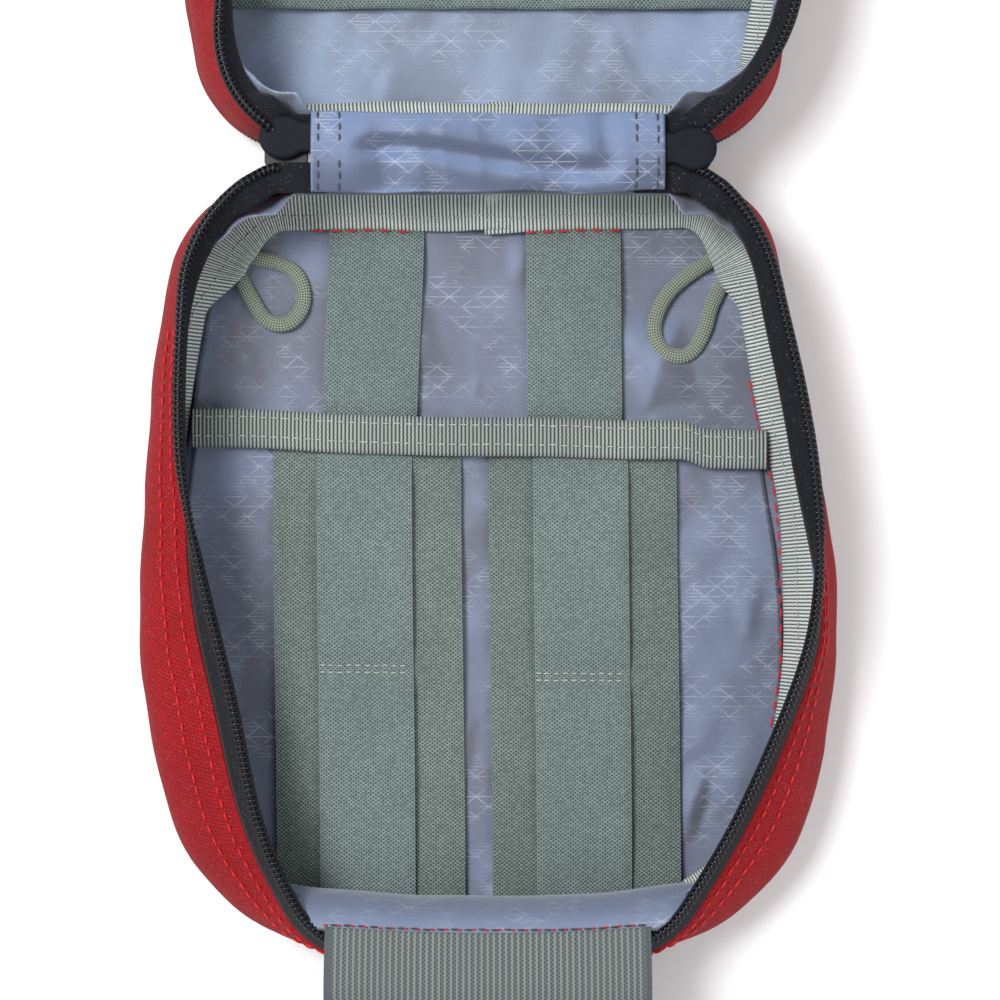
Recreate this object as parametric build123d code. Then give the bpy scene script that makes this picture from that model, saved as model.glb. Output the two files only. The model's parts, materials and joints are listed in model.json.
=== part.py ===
"""Soft clamshell first aid kit, lying open on its back. Millimetres, +Z up.

The origin is the centre of the belt loop's outer face, which lies on the table under the base.
+Y runs from the flap end of the base to the hinge, and on to the lid. The base and the lid are
mirror images about the middle of the hinge, but the base stands on its belt loop.
"""

from build123d import *
import math
import os

# ---- heights -------------------------------------------------------------------------------
RIM_HEIGHT = 45.0  # top of the zipper coil above the table
WALL_TOP = 36.0  # top edge of the fabric wall, where the zipper tape is sewn on
BULGE_HEIGHT = 20.0  # where the wall stands out furthest
CLOSED_RIM_GAP = 2.4  # between the two coils when the lid is shut but not zipped

# ---- plies ---------------------------------------------------------------------------------
PLY_GAP = 0.1  # air between plies that are sewn together
PANEL_THICKNESS = 1.2
FOAM_THICKNESS = 3.0
LINING_THICKNESS = 0.5
WALL_THICKNESS = 1.0
ELASTIC_THICKNESS = 1.0
WEBBING_THICKNESS = 1.3
FLAP_THICKNESS = 1.2

# ---- overall sizes of the floor of one half -------------------------------------------------
HALF_WIDTH = 88.0  # at its widest
LENGTH = 192.0
MIDDLE_Y = 1.0
HINGE_END_Y = MIDDLE_Y + LENGTH / 2
FLAP_END_Y = MIDDLE_Y - LENGTH / 2

# ---- outlines: half width, y and corner radius at the hinge corner, side and flap corner ----
FLOOR = [
    (HALF_WIDTH - 16.5, HINGE_END_Y, 26.0),
    (HALF_WIDTH, -16.0, 200.0),
    (HALF_WIDTH - 12.0, FLAP_END_Y, 32.0),
]
BULGE = [
    (HALF_WIDTH - 13.2, HINGE_END_Y + 1.5, 25.0),
    (HALF_WIDTH + 4.4, -15.7, 200.0),
    (HALF_WIDTH - 12.8, FLAP_END_Y - 3.0, 52.0),
]
RIM = [
    (HALF_WIDTH - 15.6, HINGE_END_Y - 2.2, 29.6),
    (HALF_WIDTH - 4.2, -27.5, 185.0),
    (HALF_WIDTH - 45.1, FLAP_END_Y, 22.0),
]
WALL_OUTSIDE_RIM = 0.5  # wall's outer face beyond the rim line, at its top edge
REACH = 200.0  # further than any piece of one half

# ---- hinge ---------------------------------------------------------------------------------
FOLD_SPACING = 18.0  # between the fold at the base and the fold at the lid
BASE_FOLD_Y = RIM[0][1]
HINGE_Y = BASE_FOLD_Y + FOLD_SPACING / 2  # middle of the hinge strip
HINGE_TO_CORNER = 28.4  # from the strip's end to where the rim's two sides would meet
HINGE_HALF_LENGTH = RIM[0][0] - HINGE_TO_CORNER
FOLD_CLEARANCE = 0.8  # from a fold line to the strip's edge
FOLD_Z = RIM_HEIGHT + (CLOSED_RIM_GAP - FOLD_SPACING) / 2
LID_FOLD_Y = HINGE_Y + FOLD_SPACING / 2
TAB_LOBE_RADIUS = 5.6
TAB_CLEARANCE = 0.4  # from the strip's end to the lobe
TAB_THICKNESS = 1.4
TAB_NECK_WIDTH = 7.0
TAB_NECK_UNDER_SLEEVE = 8.0
TAB_TOWARDS_LID = 2.4  # middle of the tab from the middle of the hinge

# ---- zipper --------------------------------------------------------------------------------
TAPE_THICKNESS = 0.8
TAPE_BOTTOM = 32.5
COIL_WIDTH = 2.6
COIL_HEIGHT = 2.0
CHAIN_PAST_HINGE = 13.5  # from the strip's end to where the chain begins
ZIPPER_START_X = HINGE_HALF_LENGTH + CHAIN_PAST_HINGE
SLIDER_LENGTH = 10.6
SLIDER_WIDTH = 7.0
SLIDER_HEIGHT = 4.2
SLIDER_PLATE = 1.3
SLIDER_CORNER = 1.6
POST_LENGTH = 2.4
POST_WIDTH = 2.0
POST_FROM_END = 0.8
SLIDER_CLEARANCE = 1.2  # from the hinge strip's end to the slider
BRIDGE_LENGTH = 7.0
BRIDGE_BAR = 1.2
BRIDGE_WIDTH = 2.6
BRIDGE_GAP = 2.2  # between the slider and the bridge bar
PULLER_LENGTH = 22.0
PULLER_WIDTH = 5.6
PULLER_THICKNESS = 1.2
PULLER_CORNER = 2.0
PULLER_SLOT_LENGTH = 3.8
PULLER_SLOT_WIDTH = 3.4

# ---- bindings ------------------------------------------------------------------------------
SEAM_BINDING_HEIGHT = 9.5
SEAM_BINDING_THICKNESS = 2.2
SEAM_BINDING_INSET = 3.2
EDGE_BINDING_WIDTH = 2.2
EDGE_BINDING_HEIGHT = 5.0

# ---- back attachment -----------------------------------------------------------------------
BELT_LOOP_WIDTH = 50.0
BELT_LOOP_MARGIN = 18.0  # from the floor's ends to the loop's
BELT_LOOP_LENGTH = LENGTH - 2 * BELT_LOOP_MARGIN
BELT_LOOP_SEWN_END = 10.0
ROW_WIDTH = 25.0
ROW_TO_SEWN_END = 5.5
ROW_COUNT = 3
ROW_RUN = BELT_LOOP_LENGTH - 2 * (BELT_LOOP_SEWN_END + ROW_TO_SEWN_END) - ROW_WIDTH
ROW_PITCH = ROW_RUN / (ROW_COUNT - 1)
ROW_LENGTH = 114.0
BACK_Z = 2 * WEBBING_THICKNESS + 2 * PLY_GAP  # underside of the back panel

# ---- straps and pocket in the base ---------------------------------------------------------
WIDE_ELASTIC = 50.0
NARROW_ELASTIC = 25.0
LEFT_STRAP_X = -31.5
RIGHT_STRAP_X = 24.2
UPPER_STRAP_SHIFT = 1.8  # the upper straps stand this much nearer the middle
POCKET_TOP_Y = 38.5
POCKET_BINDING_WIDTH = 10.0
POCKET_BINDING_PLY = 0.6
STRAP_END_GAP = 2.2  # from the seam binding to what is sewn to the floor
LOOP_SEAM_Y = -25.0
LOOP_SEAM_WIDTH = 4.0
LOOP_SEAM_HEIGHT = 0.4
FLOOR_INSET = SEAM_BINDING_INSET + SEAM_BINDING_THICKNESS + STRAP_END_GAP

# ---- loop bands in the lid -----------------------------------------------------------------
LID_BAND_NEAR_Y = 62.3  # nearer edge's height in the lid, measured as y in the base's mirror image
LID_BAND_PITCH = 74.0

# ---- flap ----------------------------------------------------------------------------------
FLAP_TO_CORNER = 2.65  # from the flap's side to the corner of the rim's outline
FLAP_WIDTH = 2 * (RIM[2][0] - FLAP_TO_CORNER)
FLAP_SEAM_INSIDE = 7.0  # from the rim line in to the seam
FLAP_BEND_OUTSIDE = 9.0  # from the rim line out to the bend
FLAP_ABOVE_COIL = 0.4
FLAP_SEAM_Y = RIM[2][1] + FLAP_SEAM_INSIDE
FLAP_BEND_Y = RIM[2][1] - FLAP_BEND_OUTSIDE
FLAP_Z = RIM_HEIGHT + FLAP_ABOVE_COIL + FLAP_THICKNESS / 2
FLAP_TIP_LENGTH = 50.0
FLAP_DROOP_DEG = 58.0
FLAP_CLEARANCE = 0.7
HEM_TO_CORNER = 2.9
HEM_HALF_WIDTH = RIM[2][0] - HEM_TO_CORNER
HEM_THICKNESS = 1.0
HEM_BELOW_FLAP = 0.7
HEM_COIL_GAP = 0.3
HEM_PAST_SEAM = 1.0

# ---- cord loops: routes of the 4 mm cord, from seam to seam ---------------------------------
CORD_DIAMETER = 4.0
CORD_LIFT = 0.3  # above the lining, which isn't flat
LEFT_CORD = [
    (-61.6, 80.4), (-55.6, 79.6), (-49.4, 76.4), (-47.4, 68.8),
    (-51.4, 62.8), (-57.8, 63.2), (-61.6, 69.4), (-64.6, 75.2),
]
RIGHT_CORD = [
    (58.6, 80.0), (52.2, 76.4), (45.6, 70.4), (42.4, 62.0),
    (45.4, 55.2), (52.2, 54.4), (56.4, 61.0), (58.0, 69.0), (62.6, 76.2),
]


def outline_face(corners, z, inset=0.0):
    """Face inside the mirrored outline, moved inwards by inset, at height z."""
    right = [(x, y) for x, y, _ in corners]
    points = right + [(-x, y) for x, y in reversed(right)]
    radii = [r for _, _, r in corners]
    radii = radii + radii[::-1]
    moved = []
    for i, (x, y) in enumerate(points):
        before = points[i - 1]
        after = points[(i + 1) % len(points)]
        in_x, in_y = unit(x - before[0], y - before[1])
        out_x, out_y = unit(after[0] - x, after[1] - y)
        # the outline runs clockwise, so the inside is on the right of each edge
        mid_x, mid_y = in_y + out_y, -in_x - out_x
        share = inset / (1 + in_x * out_x + in_y * out_y)
        moved.append((x + mid_x * share, y + mid_y * share, z))
    return make_face(FilletPolyline(*moved, radius=[r - inset for r in radii], close=True))


def unit(x, y):
    length = math.hypot(x, y)
    return x / length, y / length


def solid_between(lower, upper, z_low, z_high, inset):
    return loft([outline_face(lower, z_low, inset), outline_face(upper, z_high, inset)], ruled=True)


def wall_core(floor, floor_z, inset):
    """Solid of everything inside the wall's bulging outer face, moved in by inset."""
    lower = solid_between(floor, BULGE, floor_z, BULGE_HEIGHT, inset)
    upper = solid_between(BULGE, RIM, BULGE_HEIGHT, WALL_TOP, inset)
    return lower + upper


def wall_ring(floor, floor_z, z_low, z_high, inset, thickness):
    """Closed wall between two heights that follows the bulging side of the case."""
    ring = wall_core(floor, floor_z, inset) - wall_core(floor, floor_z, inset + thickness)
    return ring & block(-REACH, REACH, -REACH, REACH, z_low, z_high)


def block(x_low, x_high, y_low, y_high, z_low, z_high):
    box = Box(x_high - x_low, y_high - y_low, z_high - z_low)
    return Pos((x_low + x_high) / 2, (y_low + y_high) / 2, (z_low + z_high) / 2) * box


def plate(corners, z, thickness, inset=0.0):
    return extrude(outline_face(corners, z, inset), amount=thickness, dir=(0, 0, 1))


# ---- one half of the case ------------------------------------------------------------------
def side_wall(floor, floor_z):
    z_low = floor_z + PANEL_THICKNESS + PLY_GAP
    ring = wall_ring(floor, floor_z, z_low, WALL_TOP, -WALL_OUTSIDE_RIM, WALL_THICKNESS)
    raised = block(
        -HINGE_HALF_LENGTH, HINGE_HALF_LENGTH,
        BASE_FOLD_Y + WALL_OUTSIDE_RIM - WALL_THICKNESS, BASE_FOLD_Y + WALL_OUTSIDE_RIM,
        WALL_TOP, FOLD_Z,
    )
    return ring + raised


def wall_lining(floor, floor_z):
    z_low = floor_z + PANEL_THICKNESS + FOAM_THICKNESS + LINING_THICKNESS + 3 * PLY_GAP
    z_high = TAPE_BOTTOM - PLY_GAP
    inset = WALL_THICKNESS - WALL_OUTSIDE_RIM + TAPE_THICKNESS
    return wall_ring(floor, floor_z, z_low, z_high, inset, LINING_THICKNESS)


def seam_binding(floor, floor_z):
    z_low = floor_z + PANEL_THICKNESS + FOAM_THICKNESS + LINING_THICKNESS + 3 * PLY_GAP
    return wall_ring(
        floor, floor_z, z_low, z_low + SEAM_BINDING_HEIGHT, SEAM_BINDING_INSET, SEAM_BINDING_THICKNESS
    )


def edge_binding(floor, floor_z):
    outer = plate(floor, floor_z, EDGE_BINDING_HEIGHT, -WALL_OUTSIDE_RIM - EDGE_BINDING_WIDTH)
    clear = -WALL_OUTSIDE_RIM - PLY_GAP
    inner = plate(floor, floor_z, EDGE_BINDING_HEIGHT, clear) + wall_core(floor, floor_z, clear)
    return outer - inner


def rim_band(z_low, z_high, inset, thickness):
    """Upright band along the rim, open across the hinge."""
    ring = plate(RIM, z_low, z_high - z_low, inset) - plate(RIM, z_low, z_high - z_low, inset + thickness)
    opening = block(-ZIPPER_START_X, ZIPPER_START_X, 0, REACH, z_low - 1, z_high + 1)
    return ring - opening


def zipper_tape():
    inset = WALL_THICKNESS - WALL_OUTSIDE_RIM + PLY_GAP
    return rim_band(TAPE_BOTTOM, RIM_HEIGHT - COIL_HEIGHT, inset, TAPE_THICKNESS)


def zipper_coil():
    tape_middle = WALL_THICKNESS - WALL_OUTSIDE_RIM + PLY_GAP + TAPE_THICKNESS / 2
    return rim_band(
        RIM_HEIGHT - COIL_HEIGHT + PLY_GAP, RIM_HEIGHT, tape_middle - COIL_WIDTH / 2, COIL_WIDTH
    )


def half_shell(floor, floor_z, names):
    """The nine sewn pieces that the base and the lid have in common."""
    panel, foam, lining, prefix = names
    foam_z = floor_z + PANEL_THICKNESS + PLY_GAP
    lining_z = foam_z + FOAM_THICKNESS + PLY_GAP
    inset = WALL_THICKNESS + TAPE_THICKNESS + LINING_THICKNESS
    return {
        panel: plate(floor, floor_z, PANEL_THICKNESS, -WALL_OUTSIDE_RIM),
        foam: plate(floor, foam_z, FOAM_THICKNESS, inset),
        lining: plate(floor, lining_z, LINING_THICKNESS, inset),
        prefix + "_side_wall": side_wall(floor, floor_z),
        prefix + "_wall_lining": wall_lining(floor, floor_z),
        prefix + "_seam_binding": seam_binding(floor, floor_z),
        prefix + "_edge_binding": edge_binding(floor, floor_z),
        prefix + "_zipper_tape": zipper_tape(),
        prefix + "_zipper_coil": zipper_coil(),
    }


def inside_z(floor_z):
    """Top of the floor's lining."""
    return floor_z + PANEL_THICKNESS + FOAM_THICKNESS + LINING_THICKNESS + 2 * PLY_GAP


# ---- base ----------------------------------------------------------------------------------
def strap(centre_x, width, y_low, y_high, z, thickness=ELASTIC_THICKNESS):
    """Strap that ends where it's told or short of the seam binding, whichever comes first."""
    band = block(centre_x - width / 2, centre_x + width / 2, y_low, y_high, z, z + thickness)
    return band & plate(FLOOR, z, thickness, FLOOR_INSET)


def pocket_and_straps():
    z = inside_z(BACK_Z) + PLY_GAP
    back_ply_z = z + ELASTIC_THICKNESS + PLY_GAP
    pocket_z = back_ply_z + POCKET_BINDING_PLY + PLY_GAP
    front_ply_z = pocket_z + LINING_THICKNESS + PLY_GAP
    loop_z = front_ply_z + ELASTIC_THICKNESS + PLY_GAP
    binding_low_y = POCKET_TOP_Y - POCKET_BINDING_WIDTH
    fold = POCKET_BINDING_PLY + PLY_GAP  # thickness of the binding's folded edge

    area = plate(FLOOR, pocket_z, LINING_THICKNESS, FLOOR_INSET)
    pocket = area & block(-REACH, REACH, -REACH, POCKET_TOP_Y - fold, pocket_z - 1, pocket_z + 1)
    binding_height = front_ply_z + POCKET_BINDING_PLY - back_ply_z
    binding = plate(FLOOR, back_ply_z, binding_height, FLOOR_INSET)
    binding &= block(-REACH, REACH, binding_low_y, POCKET_TOP_Y, 0, REACH)
    slot_low_y = binding_low_y - 1
    slot_high_y = POCKET_TOP_Y - POCKET_BINDING_PLY
    slot_low_z = back_ply_z + POCKET_BINDING_PLY
    binding -= block(-REACH, REACH, slot_low_y, slot_high_y, slot_low_z, front_ply_z)

    parts = {"pocket_panel": pocket, "pocket_binding": binding}
    under_binding_y = binding_low_y - PLY_GAP
    for side, x, inwards in (("left", LEFT_STRAP_X, 1), ("right", RIGHT_STRAP_X, -1)):
        upper_x = x + inwards * UPPER_STRAP_SHIFT
        parts["upper_strap_" + side] = strap(
            upper_x, NARROW_ELASTIC, binding_low_y, REACH, z
        )
        parts["wide_elastic_" + side] = strap(
            x, WIDE_ELASTIC, -REACH, under_binding_y, front_ply_z
        )
        loop = strap(x, NARROW_ELASTIC, -REACH, under_binding_y, loop_z)
        seam_low_y = LOOP_SEAM_Y - LOOP_SEAM_WIDTH
        seam_z = loop_z + ELASTIC_THICKNESS
        seam = strap(x, NARROW_ELASTIC, seam_low_y, LOOP_SEAM_Y, seam_z, LOOP_SEAM_HEIGHT)
        parts["loop_elastic_" + side] = loop + seam
    return parts


def cord_loop(points):
    """Cord along its route, with each bend as large as its two runs allow. Prints what it measures."""
    z = inside_z(BACK_Z) + CORD_DIAMETER / 2 + CORD_LIFT
    route = [Vector(x, y, z) for x, y in points]
    radii = []
    for before, corner, after in zip(route, route[1:], route[2:]):
        turn = math.radians((corner - before).get_angle(after - corner))
        shorter = min((corner - before).length, (after - corner).length)
        radii.append(0.45 * shorter / math.tan(turn / 2))
    path = FilletPolyline(*route, radius=radii)
    section = Plane(origin=path @ 0, z_dir=path % 0) * Circle(CORD_DIAMETER / 2)
    tube = sweep(section, path=path)
    expected = math.pi * (CORD_DIAMETER / 2) ** 2 * path.length
    print(
        "cord: length", round(path.length, 1), "radii", [round(r, 1) for r in radii],
        "volume over section times length", round(tube.volume / expected, 4),
    )
    return tube


def webbing_rows():
    z = WEBBING_THICKNESS + PLY_GAP
    first = -ROW_PITCH * (ROW_COUNT - 1) / 2
    rows = [
        block(
            -ROW_LENGTH / 2, ROW_LENGTH / 2,
            first + ROW_PITCH * i - ROW_WIDTH / 2, first + ROW_PITCH * i + ROW_WIDTH / 2,
            z, z + WEBBING_THICKNESS,
        )
        for i in range(ROW_COUNT)
    ]
    return Compound(children=rows)


def belt_loop():
    half_length = BELT_LOOP_LENGTH / 2
    half_width = BELT_LOOP_WIDTH / 2
    strip = block(-half_width, half_width, -half_length, half_length, 0, WEBBING_THICKNESS)
    for side in (-1, 1):
        outer, inner = side * half_length, side * (half_length - BELT_LOOP_SEWN_END)
        strip += block(
            -half_width, half_width, min(outer, inner), max(outer, inner),
            WEBBING_THICKNESS, BACK_Z - PLY_GAP,
        )
    return strip


def rim_hem():
    """Folded lining at the flap end, which the flap is sewn to."""
    top_z = FLAP_Z - FLAP_THICKNESS / 2 - HEM_BELOW_FLAP
    tape_middle = WALL_THICKNESS - WALL_OUTSIDE_RIM + PLY_GAP + TAPE_THICKNESS / 2
    inside_coil = tape_middle + COIL_WIDTH / 2 + HEM_COIL_GAP
    strip = block(
        -HEM_HALF_WIDTH, HEM_HALF_WIDTH, -REACH, FLAP_SEAM_Y + HEM_PAST_SEAM,
        top_z - HEM_THICKNESS, top_z,
    )
    return strip & plate(RIM, top_z - HEM_THICKNESS, HEM_THICKNESS, inside_coil)


# ---- flap ----------------------------------------------------------------------------------
def flap_root():
    return block(
        -FLAP_WIDTH / 2, FLAP_WIDTH / 2, FLAP_BEND_Y + FLAP_CLEARANCE, FLAP_SEAM_Y - FLAP_CLEARANCE,
        FLAP_Z - FLAP_THICKNESS / 2, FLAP_Z + FLAP_THICKNESS / 2,
    )


def flap_tip():
    straight = block(
        -FLAP_WIDTH / 2, FLAP_WIDTH / 2, -FLAP_TIP_LENGTH, -FLAP_CLEARANCE,
        -FLAP_THICKNESS / 2, FLAP_THICKNESS / 2,
    )
    return Pos(0, FLAP_BEND_Y, FLAP_Z) * Rot(FLAP_DROOP_DEG, 0, 0) * straight


# ---- hinge ---------------------------------------------------------------------------------
STRIP_HALF_WIDTH = FOLD_SPACING / 2 - FOLD_CLEARANCE
STRIP_TOP = FOLD_Z + WALL_THICKNESS / 2
TAB_BOTTOM = STRIP_TOP + PLY_GAP
TAB_X = HINGE_HALF_LENGTH + TAB_LOBE_RADIUS + TAB_CLEARANCE
SLIDER_X = HINGE_HALF_LENGTH + SLIDER_CLEARANCE + SLIDER_LENGTH / 2
SLIDER_TOP = TAB_BOTTOM - PLY_GAP
PULLER_PIVOT_Z = SLIDER_TOP - SLIDER_HEIGHT - BRIDGE_GAP / 2


def hinge_strip():
    return block(
        -HINGE_HALF_LENGTH, HINGE_HALF_LENGTH, HINGE_Y - STRIP_HALF_WIDTH, HINGE_Y + STRIP_HALF_WIDTH,
        STRIP_TOP - WALL_THICKNESS, STRIP_TOP,
    )


def hinge_sleeve():
    z = TAB_BOTTOM + TAB_THICKNESS + PLY_GAP
    return block(
        -HINGE_HALF_LENGTH, HINGE_HALF_LENGTH, HINGE_Y - STRIP_HALF_WIDTH, HINGE_Y + STRIP_HALF_WIDTH,
        z, z + 2 * LINING_THICKNESS,
    )


def end_tab(side):
    lobe = Pos(TAB_X, 0) * Circle(TAB_LOBE_RADIUS)
    neck_low = HINGE_HALF_LENGTH - TAB_NECK_UNDER_SLEEVE
    neck = Pos((neck_low + TAB_X) / 2, 0) * Rectangle(TAB_X - neck_low, TAB_NECK_WIDTH)
    shape = extrude(lobe + neck, amount=TAB_THICKNESS)
    placed = Pos(0, HINGE_Y + TAB_TOWARDS_LID, TAB_BOTTOM) * shape
    return placed if side > 0 else placed.mirror(Plane.YZ)


def slider(side):
    """Zipper slider, parked under its end tab with its pull side facing down."""
    bottom = SLIDER_TOP - SLIDER_HEIGHT
    low_x, high_x = SLIDER_X - SLIDER_LENGTH / 2, SLIDER_X + SLIDER_LENGTH / 2
    half = SLIDER_WIDTH / 2
    inner = block(low_x, high_x, -half, half, SLIDER_TOP - SLIDER_PLATE, SLIDER_TOP)
    outer = block(low_x, high_x, -half, half, bottom, bottom + SLIDER_PLATE)
    plates = fillet((inner + outer).edges().filter_by(Axis.Z), radius=SLIDER_CORNER)
    post_high_x = high_x - POST_FROM_END
    post = block(
        post_high_x - POST_LENGTH, post_high_x, -POST_WIDTH / 2, POST_WIDTH / 2,
        bottom + SLIDER_PLATE, SLIDER_TOP - SLIDER_PLATE,
    )
    bar_top = bottom - BRIDGE_GAP
    bridge = block(
        SLIDER_X - BRIDGE_LENGTH / 2, SLIDER_X + BRIDGE_LENGTH / 2,
        -BRIDGE_WIDTH / 2, BRIDGE_WIDTH / 2, bar_top - BRIDGE_BAR, bottom,
    )
    bridge -= block(
        SLIDER_X - BRIDGE_LENGTH / 2 + BRIDGE_BAR, SLIDER_X + BRIDGE_LENGTH / 2 - BRIDGE_BAR,
        -BRIDGE_WIDTH, BRIDGE_WIDTH, bar_top, bottom,
    )
    placed = Pos(0, HINGE_Y, 0) * (plates + post + bridge)
    return placed if side > 0 else placed.mirror(Plane.YZ)


def puller(side):
    """Flat pull tab, hanging from the slider's bridge."""
    top = PULLER_PIVOT_Z + PULLER_THICKNESS / 2
    profile = Rectangle(PULLER_WIDTH, PULLER_LENGTH)
    profile = fillet(profile.vertices(), radius=PULLER_CORNER)
    profile -= Pos(0, PULLER_LENGTH / 2 - PULLER_THICKNESS - PULLER_SLOT_LENGTH / 2) * Rectangle(
        PULLER_SLOT_WIDTH, PULLER_SLOT_LENGTH
    )
    shape = extrude(Plane.YZ * profile, amount=PULLER_THICKNESS / 2, both=True)
    placed = Pos(SLIDER_X, HINGE_Y, top - PULLER_LENGTH / 2) * shape
    return placed if side > 0 else placed.mirror(Plane.YZ)


# ---- lid -----------------------------------------------------------------------------------
def lid_bands():
    z = inside_z(0) + PLY_GAP
    area = plate(FLOOR, z, ELASTIC_THICKNESS, FLOOR_INSET)
    bands = {}
    for i, name in enumerate(("lid_loop_band_near", "lid_loop_band_far")):
        top_y = LID_BAND_NEAR_Y - LID_BAND_PITCH * i
        bands[name] = area & block(-REACH, REACH, top_y - WIDE_ELASTIC, top_y, z, z + ELASTIC_THICKNESS)
    return bands


def as_lid(shape):
    return shape.mirror(Plane((0, HINGE_Y, 0), z_dir=(0, 1, 0)))


def main():
    parts = half_shell(FLOOR, BACK_Z, ("back_panel", "back_foam", "back_lining", "base"))
    parts.update(pocket_and_straps())
    parts["cord_loop_left"] = cord_loop(LEFT_CORD)
    parts["cord_loop_right"] = cord_loop(RIGHT_CORD)
    parts["webbing_rows"] = webbing_rows()
    parts["belt_loop"] = belt_loop()
    parts["rim_hem"] = rim_hem()
    parts["flap_root"] = flap_root()
    parts["flap_tip"] = flap_tip()
    parts["hinge_strip"] = hinge_strip()
    parts["hinge_sleeve"] = hinge_sleeve()
    for name, side in (("left", -1), ("right", 1)):
        parts["zipper_end_tab_" + name] = end_tab(side)
        parts["zipper_slider_" + name] = slider(side)
        parts["zipper_puller_" + name] = puller(side)
    lid = half_shell(FLOOR, 0, ("front_panel", "front_foam", "front_lining", "lid"))
    lid.update(lid_bands())
    parts.update({name: as_lid(shape) for name, shape in lid.items()})

    os.makedirs("parts", exist_ok=True)
    for name, shape in parts.items():
        export_step(shape, os.path.join("parts", name + ".step"))
    print(len(parts), "nodes")
    print("base fold y, z", BASE_FOLD_Y, FOLD_Z, "lid fold y", LID_FOLD_Y)
    print("puller pivot x, z", SLIDER_X, PULLER_PIVOT_Z, "floor top", inside_z(BACK_Z))


main()
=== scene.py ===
"""Looks of the soft clamshell first aid kit, lying open on its back.

Lengths in this file are millimetres in the row frame, and meshes are metres.
A half is described as the base lies: the lid uses the same functions, mirrored about the hinge.
"""

import json
import math

import bmesh
import bpy
import numpy as np
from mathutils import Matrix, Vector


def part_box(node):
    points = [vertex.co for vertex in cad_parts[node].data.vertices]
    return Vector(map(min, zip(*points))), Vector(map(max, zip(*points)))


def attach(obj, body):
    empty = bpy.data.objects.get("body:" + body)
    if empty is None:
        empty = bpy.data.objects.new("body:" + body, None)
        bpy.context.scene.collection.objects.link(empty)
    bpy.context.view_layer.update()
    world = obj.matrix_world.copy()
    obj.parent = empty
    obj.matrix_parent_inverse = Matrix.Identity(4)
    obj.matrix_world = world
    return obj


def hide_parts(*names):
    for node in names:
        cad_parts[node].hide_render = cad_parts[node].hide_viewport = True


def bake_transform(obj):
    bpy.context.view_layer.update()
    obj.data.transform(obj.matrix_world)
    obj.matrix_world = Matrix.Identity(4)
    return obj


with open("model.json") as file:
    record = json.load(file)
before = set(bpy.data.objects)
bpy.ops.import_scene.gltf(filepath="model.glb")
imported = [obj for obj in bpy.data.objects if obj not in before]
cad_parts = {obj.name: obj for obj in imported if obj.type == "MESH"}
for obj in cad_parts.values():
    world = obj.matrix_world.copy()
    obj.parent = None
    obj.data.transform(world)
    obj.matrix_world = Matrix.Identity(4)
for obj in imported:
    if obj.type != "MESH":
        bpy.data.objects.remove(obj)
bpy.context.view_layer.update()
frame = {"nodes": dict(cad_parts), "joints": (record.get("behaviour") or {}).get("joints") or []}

MM = 0.001
UV_PER_MM = 0.01
TAU = 2 * math.pi

FLOOR = [(71.5, 97.0, 26.0), (88.0, -16.0, 200.0), (73.5, -94.5, 52.0)]
BULGE = [(74.8, 98.5, 25.0), (92.4, -15.7, 200.0), (75.2, -98.0, 52.0)]
RIM = [(72.4, 94.8, 29.6), (83.8, -27.5, 185.0), (42.9, -95.0, 22.0)]
CHAIN = [(38.0, 101.5, 0.0), (54.0, 101.5, 9.0), (72.6, 86.4, 40.0)] + RIM[1:]
CHAIN_START_X = 51.0
BULGE_Z = 20.0
COIL_LOW_Z = 43.9  # where the tape meets the coil
JOINT = {joint["name"]: joint["pos_m"] for joint in frame["joints"]}
BASE_FOLD_Y = JOINT["base_fold"][1] / MM
LID_FOLD_Y = JOINT["lid_fold"][1] / MM
HINGE_Y = (BASE_FOLD_Y + LID_FOLD_Y) / 2
FOLD_Z = JOINT["base_fold"][2] / MM


def box_mm(name):
    """Two corners of a node's box, in mm."""
    return [np.array(corner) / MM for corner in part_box(name)]


BASE_FLOOR_Z = box_mm("back_panel")[0][2]
INSIDE_Z = box_mm("back_lining")[1][2] - BASE_FLOOR_Z
SLEEVE_HALF = box_mm("hinge_sleeve")[1][0]
COIL_PITCH = 1.45
COIL_INSET = 1.3
WIRE_RADIUS = 0.45
TAPE_WIDTH = 7.2
TAPE_THICKNESS = 0.7
LINING_THICKNESS = 0.5
CLOTH_THICKNESS = 0.9  # the bindings and the hinge's cloth
WALL_SHARES = np.arange(640) / 640
CORD_RADIUS = 2.0
CORD_STRANDS = 8
CORD_TURN = 4.6  # radians that a strand turns in a millimetre
FLAP_RIB = 1.5


# ---- number helpers ------------------------------------------------------------------------
def ease(value, low, high):
    """0 below low, 1 above high, and smooth between."""
    t = np.clip((value - low) / (high - low), 0, 1)
    return t * t * (3 - 2 * t)


def near(value, full, none):
    """1 while value is within full of zero, 0 beyond none, and smooth between."""
    return ease(-np.abs(value), -none, -full)


def bell(value, width):
    """1 at zero, fading smoothly both ways."""
    return np.exp(-((value / width) ** 2))


def lerp(a, b, t):
    return a + (b - a) * t


def unit(vectors):
    return vectors / np.maximum(np.linalg.norm(vectors, axis=-1, keepdims=True), 1e-9)


def linear(r, g, b):
    """Screen colour, 0 to 255, as a shader colour."""
    channels = [c / 255 for c in (r, g, b)]
    return tuple(c / 12.92 if c < 0.04045 else ((c + 0.055) / 1.055) ** 2.4 for c in channels) + (1.0,)


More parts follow.
